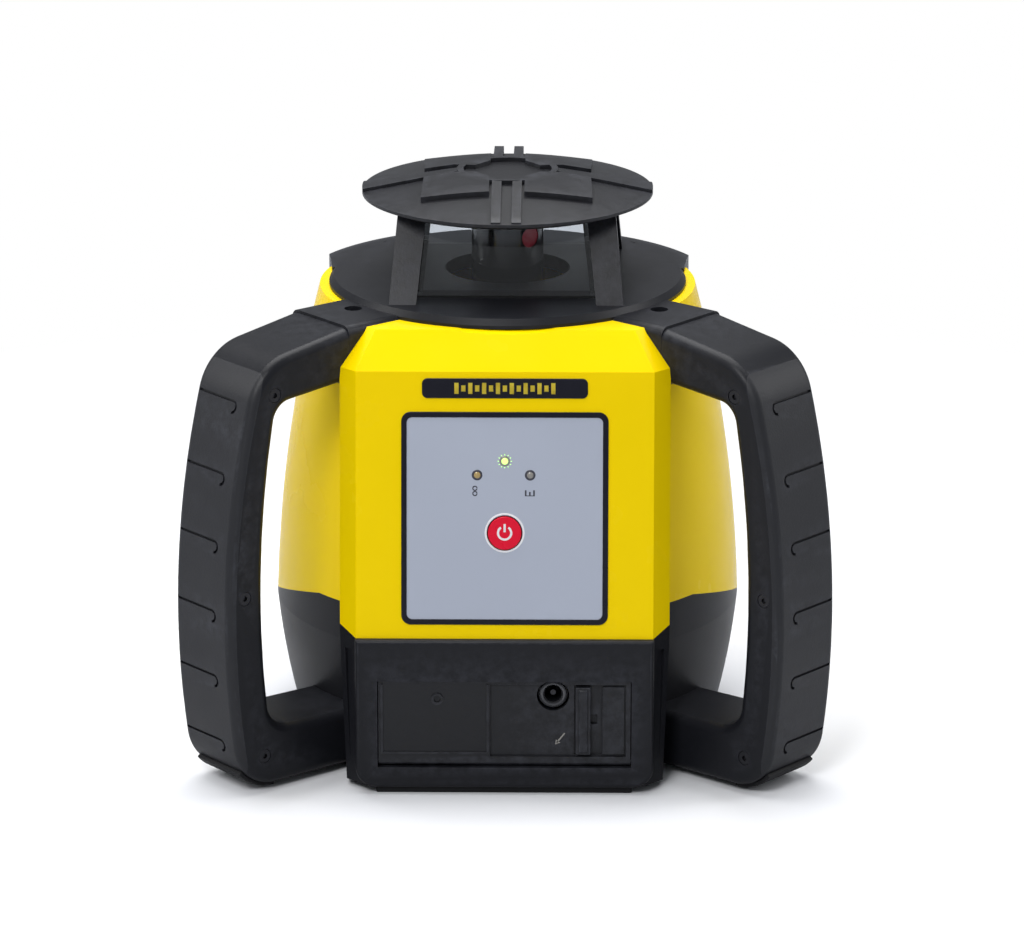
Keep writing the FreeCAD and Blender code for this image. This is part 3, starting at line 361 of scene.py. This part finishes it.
def mark_edges(mesh):
    # Writes how sharply the surface bends at each point, outward bends only, for the edge wear and the
    # painted edge highlights.
    work = bmesh.new()
    work.from_mesh(mesh)
    amounts = [0.0] * len(work.verts)
    work.verts.index_update()
    for edge in work.edges:
        if len(edge.link_faces) != 2:
            continue
        bend = edge.calc_face_angle_signed(0.0)
        amount = min(1.0, max(0.0, (bend - 0.16) / 0.25))
        for vert in edge.verts:
            amounts[vert.index] = max(amounts[vert.index], amount)
    work.free()
    attribute = mesh.attributes.new("edge", "FLOAT", "POINT")
    attribute.data.foreach_set("value", amounts)


def baked_mesh(piece):
    graph = bpy.context.evaluated_depsgraph_get()
    mesh = bpy.data.meshes.new_from_object(piece.evaluated_get(graph), depsgraph=graph)
    bpy.data.objects.remove(piece)
    return mesh


def merged_copy(node):
    # A CAD node's mesh with its loose triangles joined and its flat faces made whole.
    work = bmesh.new()
    work.from_mesh(NODES[node].data)
    bmesh.ops.remove_doubles(work, verts=work.verts, dist=2e-6)
    bmesh.ops.dissolve_limit(work, angle_limit=math.radians(1.0), verts=work.verts, edges=work.edges)
    mesh = bpy.data.meshes.new(node + "_copy")
    work.to_mesh(mesh)
    work.free()
    return mesh


def level_shoulder(mesh):
    # The round body stands a little proud of the flat shoulder under the deck; here it lies flush.
    for vert in mesh.vertices:
        proud = (vert.co - SHOULDER_FOOT).dot(SHOULDER_OUTWARD)
        above = vert.co.z > SHOULDER_FOOT.z and vert.co.y < SHOULDER_FOOT.y / 2
        if above and 0.0 < proud < SHOULDER_PROUD and abs(vert.co.x) < SHOULDER_HALF:
            vert.co -= SHOULDER_OUTWARD * proud


def soften(node, width, angle=30.0, segments=3):
    # Stands for a CAD node with its sharp edges rounded, as a moulding has them.
    mesh = merged_copy(node)
    if node == "upper_housing":
        level_shoulder(mesh)
    for polygon in mesh.polygons:
        polygon.use_smooth = True
    work = bpy.data.objects.new(node + "_work", mesh)
    bpy.context.scene.collection.objects.link(work)
    bevel = work.modifiers.new("round", "BEVEL")
    bevel.width = width
    bevel.segments = segments
    bevel.limit_method = "ANGLE"
    bevel.angle_limit = math.radians(angle)
    bevel.miter_outer = "MITER_ARC"
    bevel.use_clamp_overlap = True
    level = work.modifiers.new("even", "WEIGHTED_NORMAL")
    level.keep_sharp = True
    level.weight = 80
    rounded = baked_mesh(work)
    mark_edges(rounded)
    piece = add_piece(node + "_moulding", rounded, node, SLOT_OF[node])
    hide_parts(node)
    return piece


def loose_parts(node):
    # The separate solids of a CAD node, as (low corner, high corner) pairs.
    work = bmesh.new()
    work.from_mesh(NODES[node].data)
    bmesh.ops.remove_doubles(work, verts=work.verts, dist=2e-6)
    seen = set()
    boxes = []
    for start in work.verts:
        if start in seen:
            continue
        seen.add(start)
        stack, members = [start], []
        while stack:
            vert = stack.pop()
            members.append(vert.co.copy())
            for edge in vert.link_edges:
                other = edge.other_vert(vert)
                if other not in seen:
                    seen.add(other)
                    stack.append(other)
        low = Vector([min(point[axis] for point in members) for axis in range(3)])
        high = Vector([max(point[axis] for point in members) for axis in range(3)])
        boxes.append((low, high))
    work.free()
    return boxes


def middle(low, high):
    return (low + high) / 2


# ---------------------------------------------------------------- shapes made here

PRESS = next(joint for joint in frame["record"]["behaviour"]["joints"] if joint["name"] == "button_press")
INWARD = Vector(PRESS["axis"]).normalized()
OUTWARD = -INWARD
ALONG = Vector((1, 0, 0)).cross(INWARD)


def outer_face(node):
    # How far a node reaches along the front's outward direction.
    return max(vert.co.dot(OUTWARD) for vert in NODES[node].data.vertices)


BUTTON_MIDDLE = middle(*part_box("power_button"))
BUTTON_UP = BUTTON_MIDDLE.dot(ALONG)


def on_front(node, x, up, lift=0.0):
    # A frame on the front plane: x to the right, up from the button's centre, Z out of the face of a node.
    origin = Vector((x, 0, 0)) + ALONG * (BUTTON_UP + up) + OUTWARD * (outer_face(node) + lift)
    turn = Matrix((Vector((1, 0, 0)), ALONG, OUTWARD)).transposed()
    return Matrix.Translation(origin) @ turn.to_4x4()


def solid_outline(points, thickness, place):
    # A thin solid over a closed outline.
    work = bmesh.new()
    face = work.faces.new([work.verts.new((x, y, 0.0)) for x, y in points])
    grown = bmesh.ops.extrude_face_region(work, geom=[face])
    moved = [item for item in grown["geom"] if isinstance(item, bmesh.types.BMVert)]
    bmesh.ops.translate(work, verts=moved, vec=(0, 0, thickness))
    bmesh.ops.recalc_face_normals(work, faces=work.faces)
    mesh = bpy.data.meshes.new("outline")
    work.to_mesh(mesh)
    work.free()
    mesh.transform(place)
    return mesh


def arc_points(radius, start, stop, steps):
    angles = [math.radians(start + (stop - start) * step / steps) for step in range(steps + 1)]
    return [(radius * math.cos(angle), radius * math.sin(angle)) for angle in angles]


def arc_strip(inner, outer, start, stop, steps=48):
    return arc_points(outer, start, stop, steps) + arc_points(inner, stop, start, steps)


def lathe(profile, place, steps=40):
    # A turned solid about Z; the profile runs from pole to pole as (radius, height).
    work = bmesh.new()
    rings = []
    for radius, height in profile:
        if radius == 0:
            rings.append([work.verts.new((0, 0, height))])
        else:
            circle = arc_points(radius, 0, 360, steps)[:-1]
            rings.append([work.verts.new((x, y, height)) for x, y in circle])
    for low, high in zip(rings, rings[1:]):
        for step in range(steps):
            after = (step + 1) % steps
            corners = [low[step % len(low)], low[after % len(low)],
                       high[after % len(high)], high[step % len(high)]]
            work.faces.new(list(dict.fromkeys(corners)))
    bmesh.ops.recalc_face_normals(work, faces=work.faces)
    mesh = bpy.data.meshes.new("turned")
    work.to_mesh(mesh)
    work.free()
    mesh.transform(place)
    for polygon in mesh.polygons:
        polygon.use_smooth = True
    mesh.set_sharp_from_angle(angle=math.radians(40))
    return mesh


def joined(meshes):
    work = bmesh.new()
    for mesh in meshes:
        work.from_mesh(mesh)
    whole = bpy.data.meshes.new("joined")
    work.to_mesh(whole)
    work.free()
    return whole


# ---------------------------------------------------------------- repeated shapes, by geometry nodes

def repeat_tree(name, settings):
    # Starts a geometry node tree: places come in as points, each input has a name and a default.
    tree = bpy.data.node_groups.new(name, "GeometryNodeTree")
    tree.interface.new_socket("Places", in_out="INPUT", socket_type="NodeSocketGeometry")
    for label, kind, default in settings:
        socket = tree.interface.new_socket(label, in_out="INPUT", socket_type=kind)
        socket.default_value = default
    tree.interface.new_socket("Pieces", in_out="OUTPUT", socket_type="NodeSocketGeometry")
    return tree, tree.nodes.new("NodeGroupInput"), tree.nodes.new("NodeGroupOutput")


def finish_repeat(tree, start, end, points, shape, rotation=None):
    spread = tree.nodes.new("GeometryNodeInstanceOnPoints")
    tree.links.new(points, spread.inputs["Points"])
    tree.links.new(shape, spread.inputs["Instance"])
    if rotation is not None:
        tree.links.new(rotation, spread.inputs["Rotation"])
    plain = tree.nodes.new("GeometryNodeRealizeInstances")
    tree.links.new(spread.outputs["Instances"], plain.inputs["Geometry"])
    paint = tree.nodes.new("GeometryNodeSetMaterial")
    tree.links.new(plain.outputs["Geometry"], paint.inputs["Geometry"])
    tree.links.new(start.outputs["Finish"], paint.inputs["Material"])
    tree.links.new(paint.outputs["Geometry"], end.inputs["Pieces"])


def drive_socket_tree():
    # A six-lobed star at the bottom of each screw head's recess, turned at random about the screw's axis.
    tree, start, end = repeat_tree("drive_sockets", (
        ("Size", "NodeSocketFloat", 1.0 * MM), ("Depth", "NodeSocketFloat", 0.3 * MM),
        ("Seed", "NodeSocketInt", 7), ("Finish", "NodeSocketMaterial", None)))
    star = tree.nodes.new("GeometryNodeCurveStar")
    star.inputs["Points"].default_value = 6
    inner = tree.nodes.new("ShaderNodeMath")
    inner.operation = "MULTIPLY"
    inner.inputs[1].default_value = 0.72
    tree.links.new(start.outputs["Size"], inner.inputs[0])
    tree.links.new(inner.outputs[0], star.inputs["Inner Radius"])
    tree.links.new(start.outputs["Size"], star.inputs["Outer Radius"])
    soft = tree.nodes.new("GeometryNodeFilletCurve")
    soft.mode = "POLY"
    soft.inputs["Count"].default_value = 3
    soft.inputs["Radius"].default_value = 0.12 * MM
    tree.links.new(star.outputs["Curve"], soft.inputs["Curve"])
    fill = tree.nodes.new("GeometryNodeFillCurve")
    tree.links.new(soft.outputs["Curve"], fill.inputs["Curve"])
    deep = tree.nodes.new("GeometryNodeExtrudeMesh")
    tree.links.new(fill.outputs["Mesh"], deep.inputs["Mesh"])
    tree.links.new(start.outputs["Depth"], deep.inputs["Offset Scale"])
    align = tree.nodes.new("FunctionNodeAlignRotationToVector")
    align.axis = "Z"
    normal = tree.nodes.new("GeometryNodeInputNormal")
    tree.links.new(normal.outputs["Normal"], align.inputs["Vector"])
    spin = tree.nodes.new("FunctionNodeRandomValue")
    tree.links.new(start.outputs["Seed"], spin.inputs["Seed"])
    spin.inputs["Max"].default_value = 1.0
    turn = tree.nodes.new("FunctionNodeAxisAngleToRotation")
    tree.links.new(spin.outputs["Value"], turn.inputs["Angle"])
    both = tree.nodes.new("FunctionNodeRotateRotation")
    both.rotation_space = "LOCAL"
    tree.links.new(align.outputs["Rotation"], both.inputs["Rotation"])
    tree.links.new(turn.outputs["Rotation"], both.inputs["Rotate By"])
    finish_repeat(tree, start, end, start.outputs["Places"], deep.outputs["Mesh"], both.outputs["Rotation"])
    return tree


def tick_row_tree():
    # A row of printed bars, tall and short in turn, running along X from each place.
    tree, start, end = repeat_tree("tick_row", (
        ("Count", "NodeSocketInt", 15), ("Spacing", "NodeSocketFloat", 2.5 * MM),
        ("Bar Width", "NodeSocketFloat", 1.5 * MM), ("Bar Height", "NodeSocketFloat", 4.0 * MM),
        ("Thickness", "NodeSocketFloat", 0.08 * MM), ("Finish", "NodeSocketMaterial", None)))
    line = tree.nodes.new("GeometryNodeMeshLine")
    span = tree.nodes.new("ShaderNodeCombineXYZ")
    tree.links.new(start.outputs["Spacing"], span.inputs["X"])
    tree.links.new(start.outputs["Count"], line.inputs["Count"])
    tree.links.new(span.outputs["Vector"], line.inputs["Offset"])
    bar = tree.nodes.new("GeometryNodeMeshCube")
    size = tree.nodes.new("ShaderNodeCombineXYZ")
    tree.links.new(start.outputs["Bar Width"], size.inputs["X"])
    tree.links.new(start.outputs["Bar Height"], size.inputs["Y"])
    tree.links.new(start.outputs["Thickness"], size.inputs["Z"])
    tree.links.new(size.outputs["Vector"], bar.inputs["Size"])
    spread = tree.nodes.new("GeometryNodeInstanceOnPoints")
    tree.links.new(line.outputs["Mesh"], spread.inputs["Points"])
    tree.links.new(bar.outputs["Mesh"], spread.inputs["Instance"])
    index = tree.nodes.new("GeometryNodeInputIndex")
    parity = tree.nodes.new("ShaderNodeMath")
    parity.operation = "MODULO"
    parity.inputs[1].default_value = 2.0
    tree.links.new(index.outputs["Index"], parity.inputs[0])
    height = tree.nodes.new("ShaderNodeMapRange")
    set_inputs(height, From_Min=0.0, From_Max=1.0, To_Min=1.0, To_Max=0.55)
    tree.links.new(parity.outputs[0], height.inputs["Value"])
    scale = tree.nodes.new("ShaderNodeCombineXYZ")
    scale.inputs["X"].default_value = 1.0
    scale.inputs["Z"].default_value = 1.0
    tree.links.new(height.outputs["Result"], scale.inputs["Y"])
    tree.links.new(scale.outputs["Vector"], spread.inputs["Scale"])
    finish_repeat(tree, start, end, start.outputs["Places"], spread.outputs["Instances"])
    return tree


def ray_tree():
    # Fine rays round a lit lamp, as it dazzles; all of one length.
    tree, start, end = repeat_tree("lamp_rays", (
        ("Count", "NodeSocketInt", 12), ("Near", "NodeSocketFloat", 1.7 * MM),
        ("Length", "NodeSocketFloat", 1.3 * MM), ("Width", "NodeSocketFloat", 0.22 * MM),
        ("Finish", "NodeSocketMaterial", None)))
    ray = tree.nodes.new("GeometryNodeMeshCone")
    ray.fill_type = "TRIANGLE_FAN"
    ray.inputs["Vertices"].default_value = 4
    tree.links.new(start.outputs["Width"], ray.inputs["Radius Bottom"])
    tree.links.new(start.outputs["Length"], ray.inputs["Depth"])
    lay = tree.nodes.new("GeometryNodeTransform")
    lay.inputs["Rotation"].default_value = (0.0, math.pi / 2, 0.0)
    lay.inputs["Scale"].default_value = (1.0, 1.0, 0.3)
    tree.links.new(ray.outputs["Mesh"], lay.inputs["Geometry"])
    hoop = tree.nodes.new("GeometryNodeMeshCircle")
    tree.links.new(start.outputs["Count"], hoop.inputs["Vertices"])
    tree.links.new(start.outputs["Near"], hoop.inputs["Radius"])
    place = tree.nodes.new("GeometryNodeInputPosition")
    align = tree.nodes.new("FunctionNodeAlignRotationToVector")
    align.axis = "X"
    align.pivot_axis = "Z"
    tree.links.new(place.outputs["Position"], align.inputs["Vector"])
    spread = tree.nodes.new("GeometryNodeInstanceOnPoints")
    tree.links.new(hoop.outputs["Mesh"], spread.inputs["Points"])
    tree.links.new(lay.outputs["Geometry"], spread.inputs["Instance"])
    tree.links.new(align.outputs["Rotation"], spread.inputs["Rotation"])
    finish_repeat(tree, start, end, start.outputs["Places"], spread.outputs["Instances"])
    return tree


def points_mesh(places):
    # Carrier points for a repeat; each (place, outward) is one vertex whose normal looks outward.
    mesh = bpy.data.meshes.new("places")
    small = 0.01 * MM
    verts, faces = [], []
    for place, outward in places:
        side = outward.orthogonal().normalized() * small
        across = outward.cross(side)
        verts += [place + side, place - 0.5 * side + 0.866 * across, place - 0.5 * side - 0.866 * across]
        faces.append(tuple(range(len(verts) - 3, len(verts))))
    mesh.from_pydata(verts, [], faces)
    return mesh


def run_repeat(tree, mesh, settings):
    # Sets the inputs by their identifiers, evaluates, and gives back one plain mesh.
    carrier = bpy.data.objects.new(tree.name + "_carrier", mesh)
    bpy.context.scene.collection.objects.link(carrier)
    modifier = carrier.modifiers.new("repeat", "NODES")
    modifier.node_group = tree
    for item in tree.interface.items_tree:
        if item.in_out == "INPUT" and item.name in settings:
            modifier[item.identifier] = settings[item.name]
    carrier.update_tag()
    return baked_mesh(carrier)


# ---------------------------------------------------------------- marks and lights on the front

def add_button_mark():
    place = on_front("power_button", 0, 0)
    ring_gap = 34
    arc = solid_outline(arc_strip(2.0 * MM, 2.8 * MM, 90 + ring_gap, 450 - ring_gap), 0.04 * MM, place)
    bar = [(-0.4 * MM, 0.3 * MM), (0.4 * MM, 0.3 * MM), (0.4 * MM, 3.3 * MM), (-0.4 * MM, 3.3 * MM)]
    stem = solid_outline(bar, 0.04 * MM, place)
    add_piece("button_symbol", joined([arc, stem]), "power_button", "white_print")
    radius = (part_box("power_button")[1].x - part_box("power_button")[0].x) / 2
    section = ((0.45, -0.02), (0.45, 0.05), (0.6, 0.09), (1.0, 0.09), (1.15, 0.0), (0.9, -0.02),
               (0.45, -0.02))
    profile = [(radius + out * MM, height * MM) for out, height in section]
    ring_mesh = lathe(profile, on_front("control_panel", 0, 0), steps=64)
    add_piece("button_ring", ring_mesh, "control_panel", "white_print")


def add_status_lights():
    lamps = sorted(loose_parts("status_lights"), key=lambda box: middle(*box).x)
    finishes = ("amber_lens", "green_light", "light_lens")
    pieces = []
    for (low, high), finish in zip(lamps, finishes):
        centre = middle(low, high)
        place = on_front("control_panel", centre.x, centre.dot(ALONG) - BUTTON_UP)
        lens = lathe([(0, -0.4 * MM), (1.2 * MM, -0.4 * MM), (1.2 * MM, 0.05 * MM), (0.9 * MM, 0.22 * MM),
                      (0.4 * MM, 0.32 * MM), (0, 0.34 * MM)], place)
        section = [(1.2 * MM, -0.1 * MM), (1.2 * MM, 0.10 * MM), (1.35 * MM, 0.16 * MM),
                   (1.75 * MM, 0.12 * MM), (1.95 * MM, 0.0), (1.6 * MM, -0.1 * MM), (1.2 * MM, -0.1 * MM)]
        bezel = lathe(section, place)
        pieces.append(add_piece(finish + "_lamp", lens, "status_lights", finish))
        rim = "light_lens" if finish == "green_light" else "dark_print"
        pieces.append(add_piece(finish + "_bezel", bezel, "status_lights", rim))
        if finish == "green_light":
            rays = run_repeat(ray_tree(), points_mesh([(Vector((0, 0, 0)), Vector((0, 0, 1)))]), {
                "Count": 12, "Near": 2.2 * MM, "Length": 1.5 * MM, "Width": 0.16 * MM,
                "Finish": MATERIALS["green_light"]})
            rays.transform(on_front("control_panel", centre.x, centre.dot(ALONG) - BUTTON_UP, 0.1 * MM))
            pieces.append(add_piece("lamp_rays", rays, "status_lights", "green_light"))
    for piece in pieces:
        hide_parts("status_lights")


def add_panel_marks():
    # Two small plain signs under the side lamps: a ring over a ring, and three bars on a line.
    left = on_front("control_panel", -10.8 * MM, 15.3 * MM)
    shapes = []
    for up in (-0.95 * MM, 0.95 * MM):
        spot = left @ Matrix.Translation((0, up, 0))
        shapes.append(solid_outline(arc_strip(0.55 * MM, 0.95 * MM, 0, 350), 0.03 * MM, spot))
    right = on_front("control_panel", 9.1 * MM, 14.7 * MM)
    for x, tall in ((-1.5, 1.9), (0.0, 1.3), (1.5, 1.9)):
        left_side, right_side, top = (x - 0.3) * MM, (x + 0.3) * MM, (tall - 1.0) * MM
        bar = [(left_side, -1.0 * MM), (right_side, -1.0 * MM), (right_side, top), (left_side, top)]
        shapes.append(solid_outline(bar, 0.03 * MM, right))
    base = [(-1.8 * MM, -1.3 * MM), (1.8 * MM, -1.3 * MM), (1.8 * MM, -1.0 * MM), (-1.8 * MM, -1.0 * MM)]
    shapes.append(solid_outline(base, 0.03 * MM, right))
    add_piece("panel_signs", joined(shapes), "control_panel", "dark_print")


def add_plate_ticks():
    low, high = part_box("name_plate")
    count, spacing = 15, 2.5 * MM
    ticks = run_repeat(tick_row_tree(), points_mesh([(Vector((0, 0, 0)), Vector((0, 0, 1)))]), {
        "Count": count, "Spacing": spacing, "Bar Width": 1.5 * MM, "Bar Height": 4.0 * MM,
        "Thickness": 0.08 * MM, "Finish": MATERIALS["yellow_print"]})
    centre = middle(low, high)
    start = on_front("name_plate", centre.x - spacing * (count - 1) / 2, centre.dot(ALONG) - BUTTON_UP)
    ticks.transform(start)
    add_piece("plate_ticks", ticks, "name_plate", "yellow_print")


def add_door_mark():
    # A small slanting arrow in the door's recess, beside the latch.
    place = Matrix.Translation(DOOR_ARROW) @ Matrix.Rotation(math.pi / 2, 4, "X")
    place = place @ Matrix.Rotation(math.radians(-38), 4, "Z")
    shaft = solid_outline([(-0.25 * MM, -2.4 * MM), (0.25 * MM, -2.4 * MM), (0.25 * MM, 2.4 * MM),
                           (-0.25 * MM, 2.4 * MM)], 0.15 * MM, place)
    head = solid_outline([(-1.0 * MM, -1.5 * MM), (0, -3.2 * MM), (1.0 * MM, -1.5 * MM)], 0.15 * MM, place)
    add_piece("door_arrow", joined([shaft, head]), "battery_door", "light_lens")


def add_jack_rim():
    # The rounded mouth of the charging jack, in a grey lighter than the black round it: painted light that
    # lifts it out of the battery door's shade.
    low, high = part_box("charging_jack")
    centre = Vector((middle(low, high).x, low.y, middle(*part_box("jack_pin")).z))
    face = Matrix.Translation(centre) @ Matrix.Rotation(math.pi / 2, 4, "X")
    mouth = [(3.4, 0.0), (3.4, 0.5), (3.7, 1.0), (4.3, 1.2), (4.9, 0.9), (5.1, 0.3), (5.1, 0.0), (3.4, 0.0)]
    rim = lathe([(radius * MM, height * MM) for radius, height in mouth], face, steps=48)
    add_piece("jack_mouth", rim, "charging_jack", "jack_rim")


def add_cover_screw_sockets():
    places = []
    for low, high in loose_parts("top_cover_screws"):
        centre = middle(low, high)
        places.append((Vector((centre.x, centre.y, high.z - 1.35 * MM)), Vector((0, 0, 1))))
    sockets = run_repeat(drive_socket_tree(), points_mesh(places), {
        "Size": 1.15 * MM, "Depth": 0.3 * MM, "Seed": 7, "Finish": MATERIALS["steel"]})
    add_piece("cover_screw_sockets", sockets, "top_cover_screws", "steel")


# ---------------------------------------------------------------- carried-over pieces

def finish_cad_nodes():
    for node, piece in NODES.items():
        piece.data.materials.clear()
        piece.data.materials.append(MATERIALS[SLOT_OF[node]])


# How far each moulding's edges are rounded. The lower housing isn't here: rounding spoils the wall round
# its battery opening.
SOFTENED = {
    "upper_housing": 1.6 * MM, "top_cover": 0.7 * MM, "top_cap": 0.7 * MM,
    "handle_frame_left": 0.5 * MM, "handle_frame_right": 0.5 * MM, "handle_grip_left": 0.35 * MM,
    "handle_grip_right": 0.35 * MM, "handle_feet": 0.4 * MM, "battery_door": 0.3 * MM,
    "door_latch": 0.3 * MM,
    "bay_frame": 0.45 * MM, "panel_frame": 0.2 * MM, "name_plate": 0.2 * MM, "foot_plate": 0.6 * MM,
    "power_button": 0.35 * MM,
}


def soften_mouldings():
    for node, width in SOFTENED.items():
        soften(node, width)


# ---------------------------------------------------------------- studio and camera

def add_area(name, place, target, size, power, tall=None, colour=(1.0, 1.0, 1.0)):
    data = bpy.data.lights.new(name, "AREA")
    data.shape = "RECTANGLE"
    data.size = size
    data.size_y = tall or size
    data.energy = power
    data.color = colour
    light = bpy.data.objects.new(name, data)
    bpy.context.scene.collection.objects.link(light)
    light.location = place
    light.rotation_euler = (Vector(target) - Vector(place)).to_track_quat("-Z", "Y").to_euler()
    return light


def white_floor():
    # Pale paper near the object, burnt out to plain white further off where the camera looks at it.
    material, tree, shader = new_material("white_floor")
    place = object_place(tree)
    cloud = noise(tree, place, 1.5)
    path = tree.nodes.new("ShaderNodeLightPath")
    seen = mix_colour(tree, cloud, (0.86, 0.87, 0.90), (0.89, 0.90, 0.93))
    bounce = mix_colour(tree, path.outputs["Is Camera Ray"], (0.50, 0.51, 0.54), seen)
    tree.links.new(bounce, shader.inputs["Base Color"])
    shader.inputs["Roughness"].default_value = 0.4
    shader.inputs["Specular IOR Level"].default_value = 0.2
    reach = tree.nodes.new("ShaderNodeVectorMath")
    reach.operation = "LENGTH"
    tree.links.new(place, reach.inputs[0])
    far = remap(tree, reach.outputs["Value"], 0.22, 0.55, 0.0, 1.0)
    burnt = math_node(tree, "MULTIPLY", far, path.outputs["Is Camera Ray"], clamp=True)
    white = tree.nodes.new("ShaderNodeEmission")
    blend = tree.nodes.new("ShaderNodeMixShader")
    tree.links.new(burnt, blend.inputs["Fac"])
    tree.links.new(shader.outputs["BSDF"], blend.inputs[1])
    tree.links.new(white.outputs["Emission"], blend.inputs[2])
    tree.links.new(blend.outputs["Shader"], tree.nodes["Material Output"].inputs["Surface"])
    return material


def add_studio():
    floor_mesh = bpy.data.meshes.new("studio_floor")
    reach = 6.0
    corners = [(-reach, -reach, 0), (reach, -reach, 0), (reach, reach, 0), (-reach, reach, 0)]
    floor_mesh.from_pydata(corners, [], [(0, 1, 2, 3)])
    floor = bpy.data.objects.new("studio_floor", floor_mesh)
    bpy.context.scene.collection.objects.link(floor)
    floor_mesh.materials.append(white_floor())

    world = bpy.data.worlds.new("studio_world")
    bpy.context.scene.world = world
    world.use_nodes = True
    nodes, links = world.node_tree.nodes, world.node_tree.links
    room = nodes["Background"]
    room.inputs["Color"].default_value = (0.93, 0.96, 1.0, 1.0)
    room.inputs["Strength"].default_value = 0.30
    backdrop = nodes.new("ShaderNodeBackground")
    backdrop.inputs["Color"].default_value = (1.0, 1.0, 1.0, 1.0)
    backdrop.inputs["Strength"].default_value = 1.0
    path = nodes.new("ShaderNodeLightPath")
    mixed = nodes.new("ShaderNodeMixShader")
    links.new(path.outputs["Is Camera Ray"], mixed.inputs["Fac"])
    links.new(room.outputs["Background"], mixed.inputs[1])
    links.new(backdrop.outputs["Background"], mixed.inputs[2])
    links.new(mixed.outputs["Shader"], nodes["World Output"].inputs["Surface"])

    target = (0.0, 0.0, 0.10)
    add_area("top_softbox", (-0.1, 0.25, 1.3), target, 1.2, 20.0)
    add_area("left_softbox", (-1.2, 0.1, 0.8), target, 0.35, 5.0, tall=1.0)
    add_area("right_softbox", (1.2, 0.1, 0.8), target, 0.35, 6.0, tall=1.0)
    add_area("front_softbox", (-0.5, -1.6, 1.5), target, 0.7, 22.5)


def add_camera():
    # A long lens from the front and a little above.
    data = bpy.data.cameras.new("camera")
    data.sensor_width = 36.0
    data.lens = 205.4
    data.shift_x = 0.0043
    data.shift_y = -0.0064
    data.clip_start = 0.1
    data.clip_end = 30.0
    camera = bpy.data.objects.new("camera", data)
    bpy.context.scene.collection.objects.link(camera)
    target = Vector((0.0, 0.0, 0.1))
    elevation, azimuth, distance = math.radians(16.9), math.radians(0.7), 2.2
    back = Vector((math.sin(azimuth) * math.cos(elevation), -math.cos(azimuth) * math.cos(elevation),
                   math.sin(elevation)))
    camera.location = target + back * distance
    camera.rotation_mode = "QUATERNION"
    camera.rotation_quaternion = (-back).to_track_quat("-Z", "Y")
    bpy.context.scene.camera = camera


finish_cad_nodes()
soften_mouldings()
add_button_mark()
add_status_lights()
add_panel_marks()
add_plate_ticks()
add_door_mark()
add_jack_rim()
add_cover_screw_sockets()
add_studio()
add_camera()
bpy.context.scene.view_settings.view_transform = "Standard"
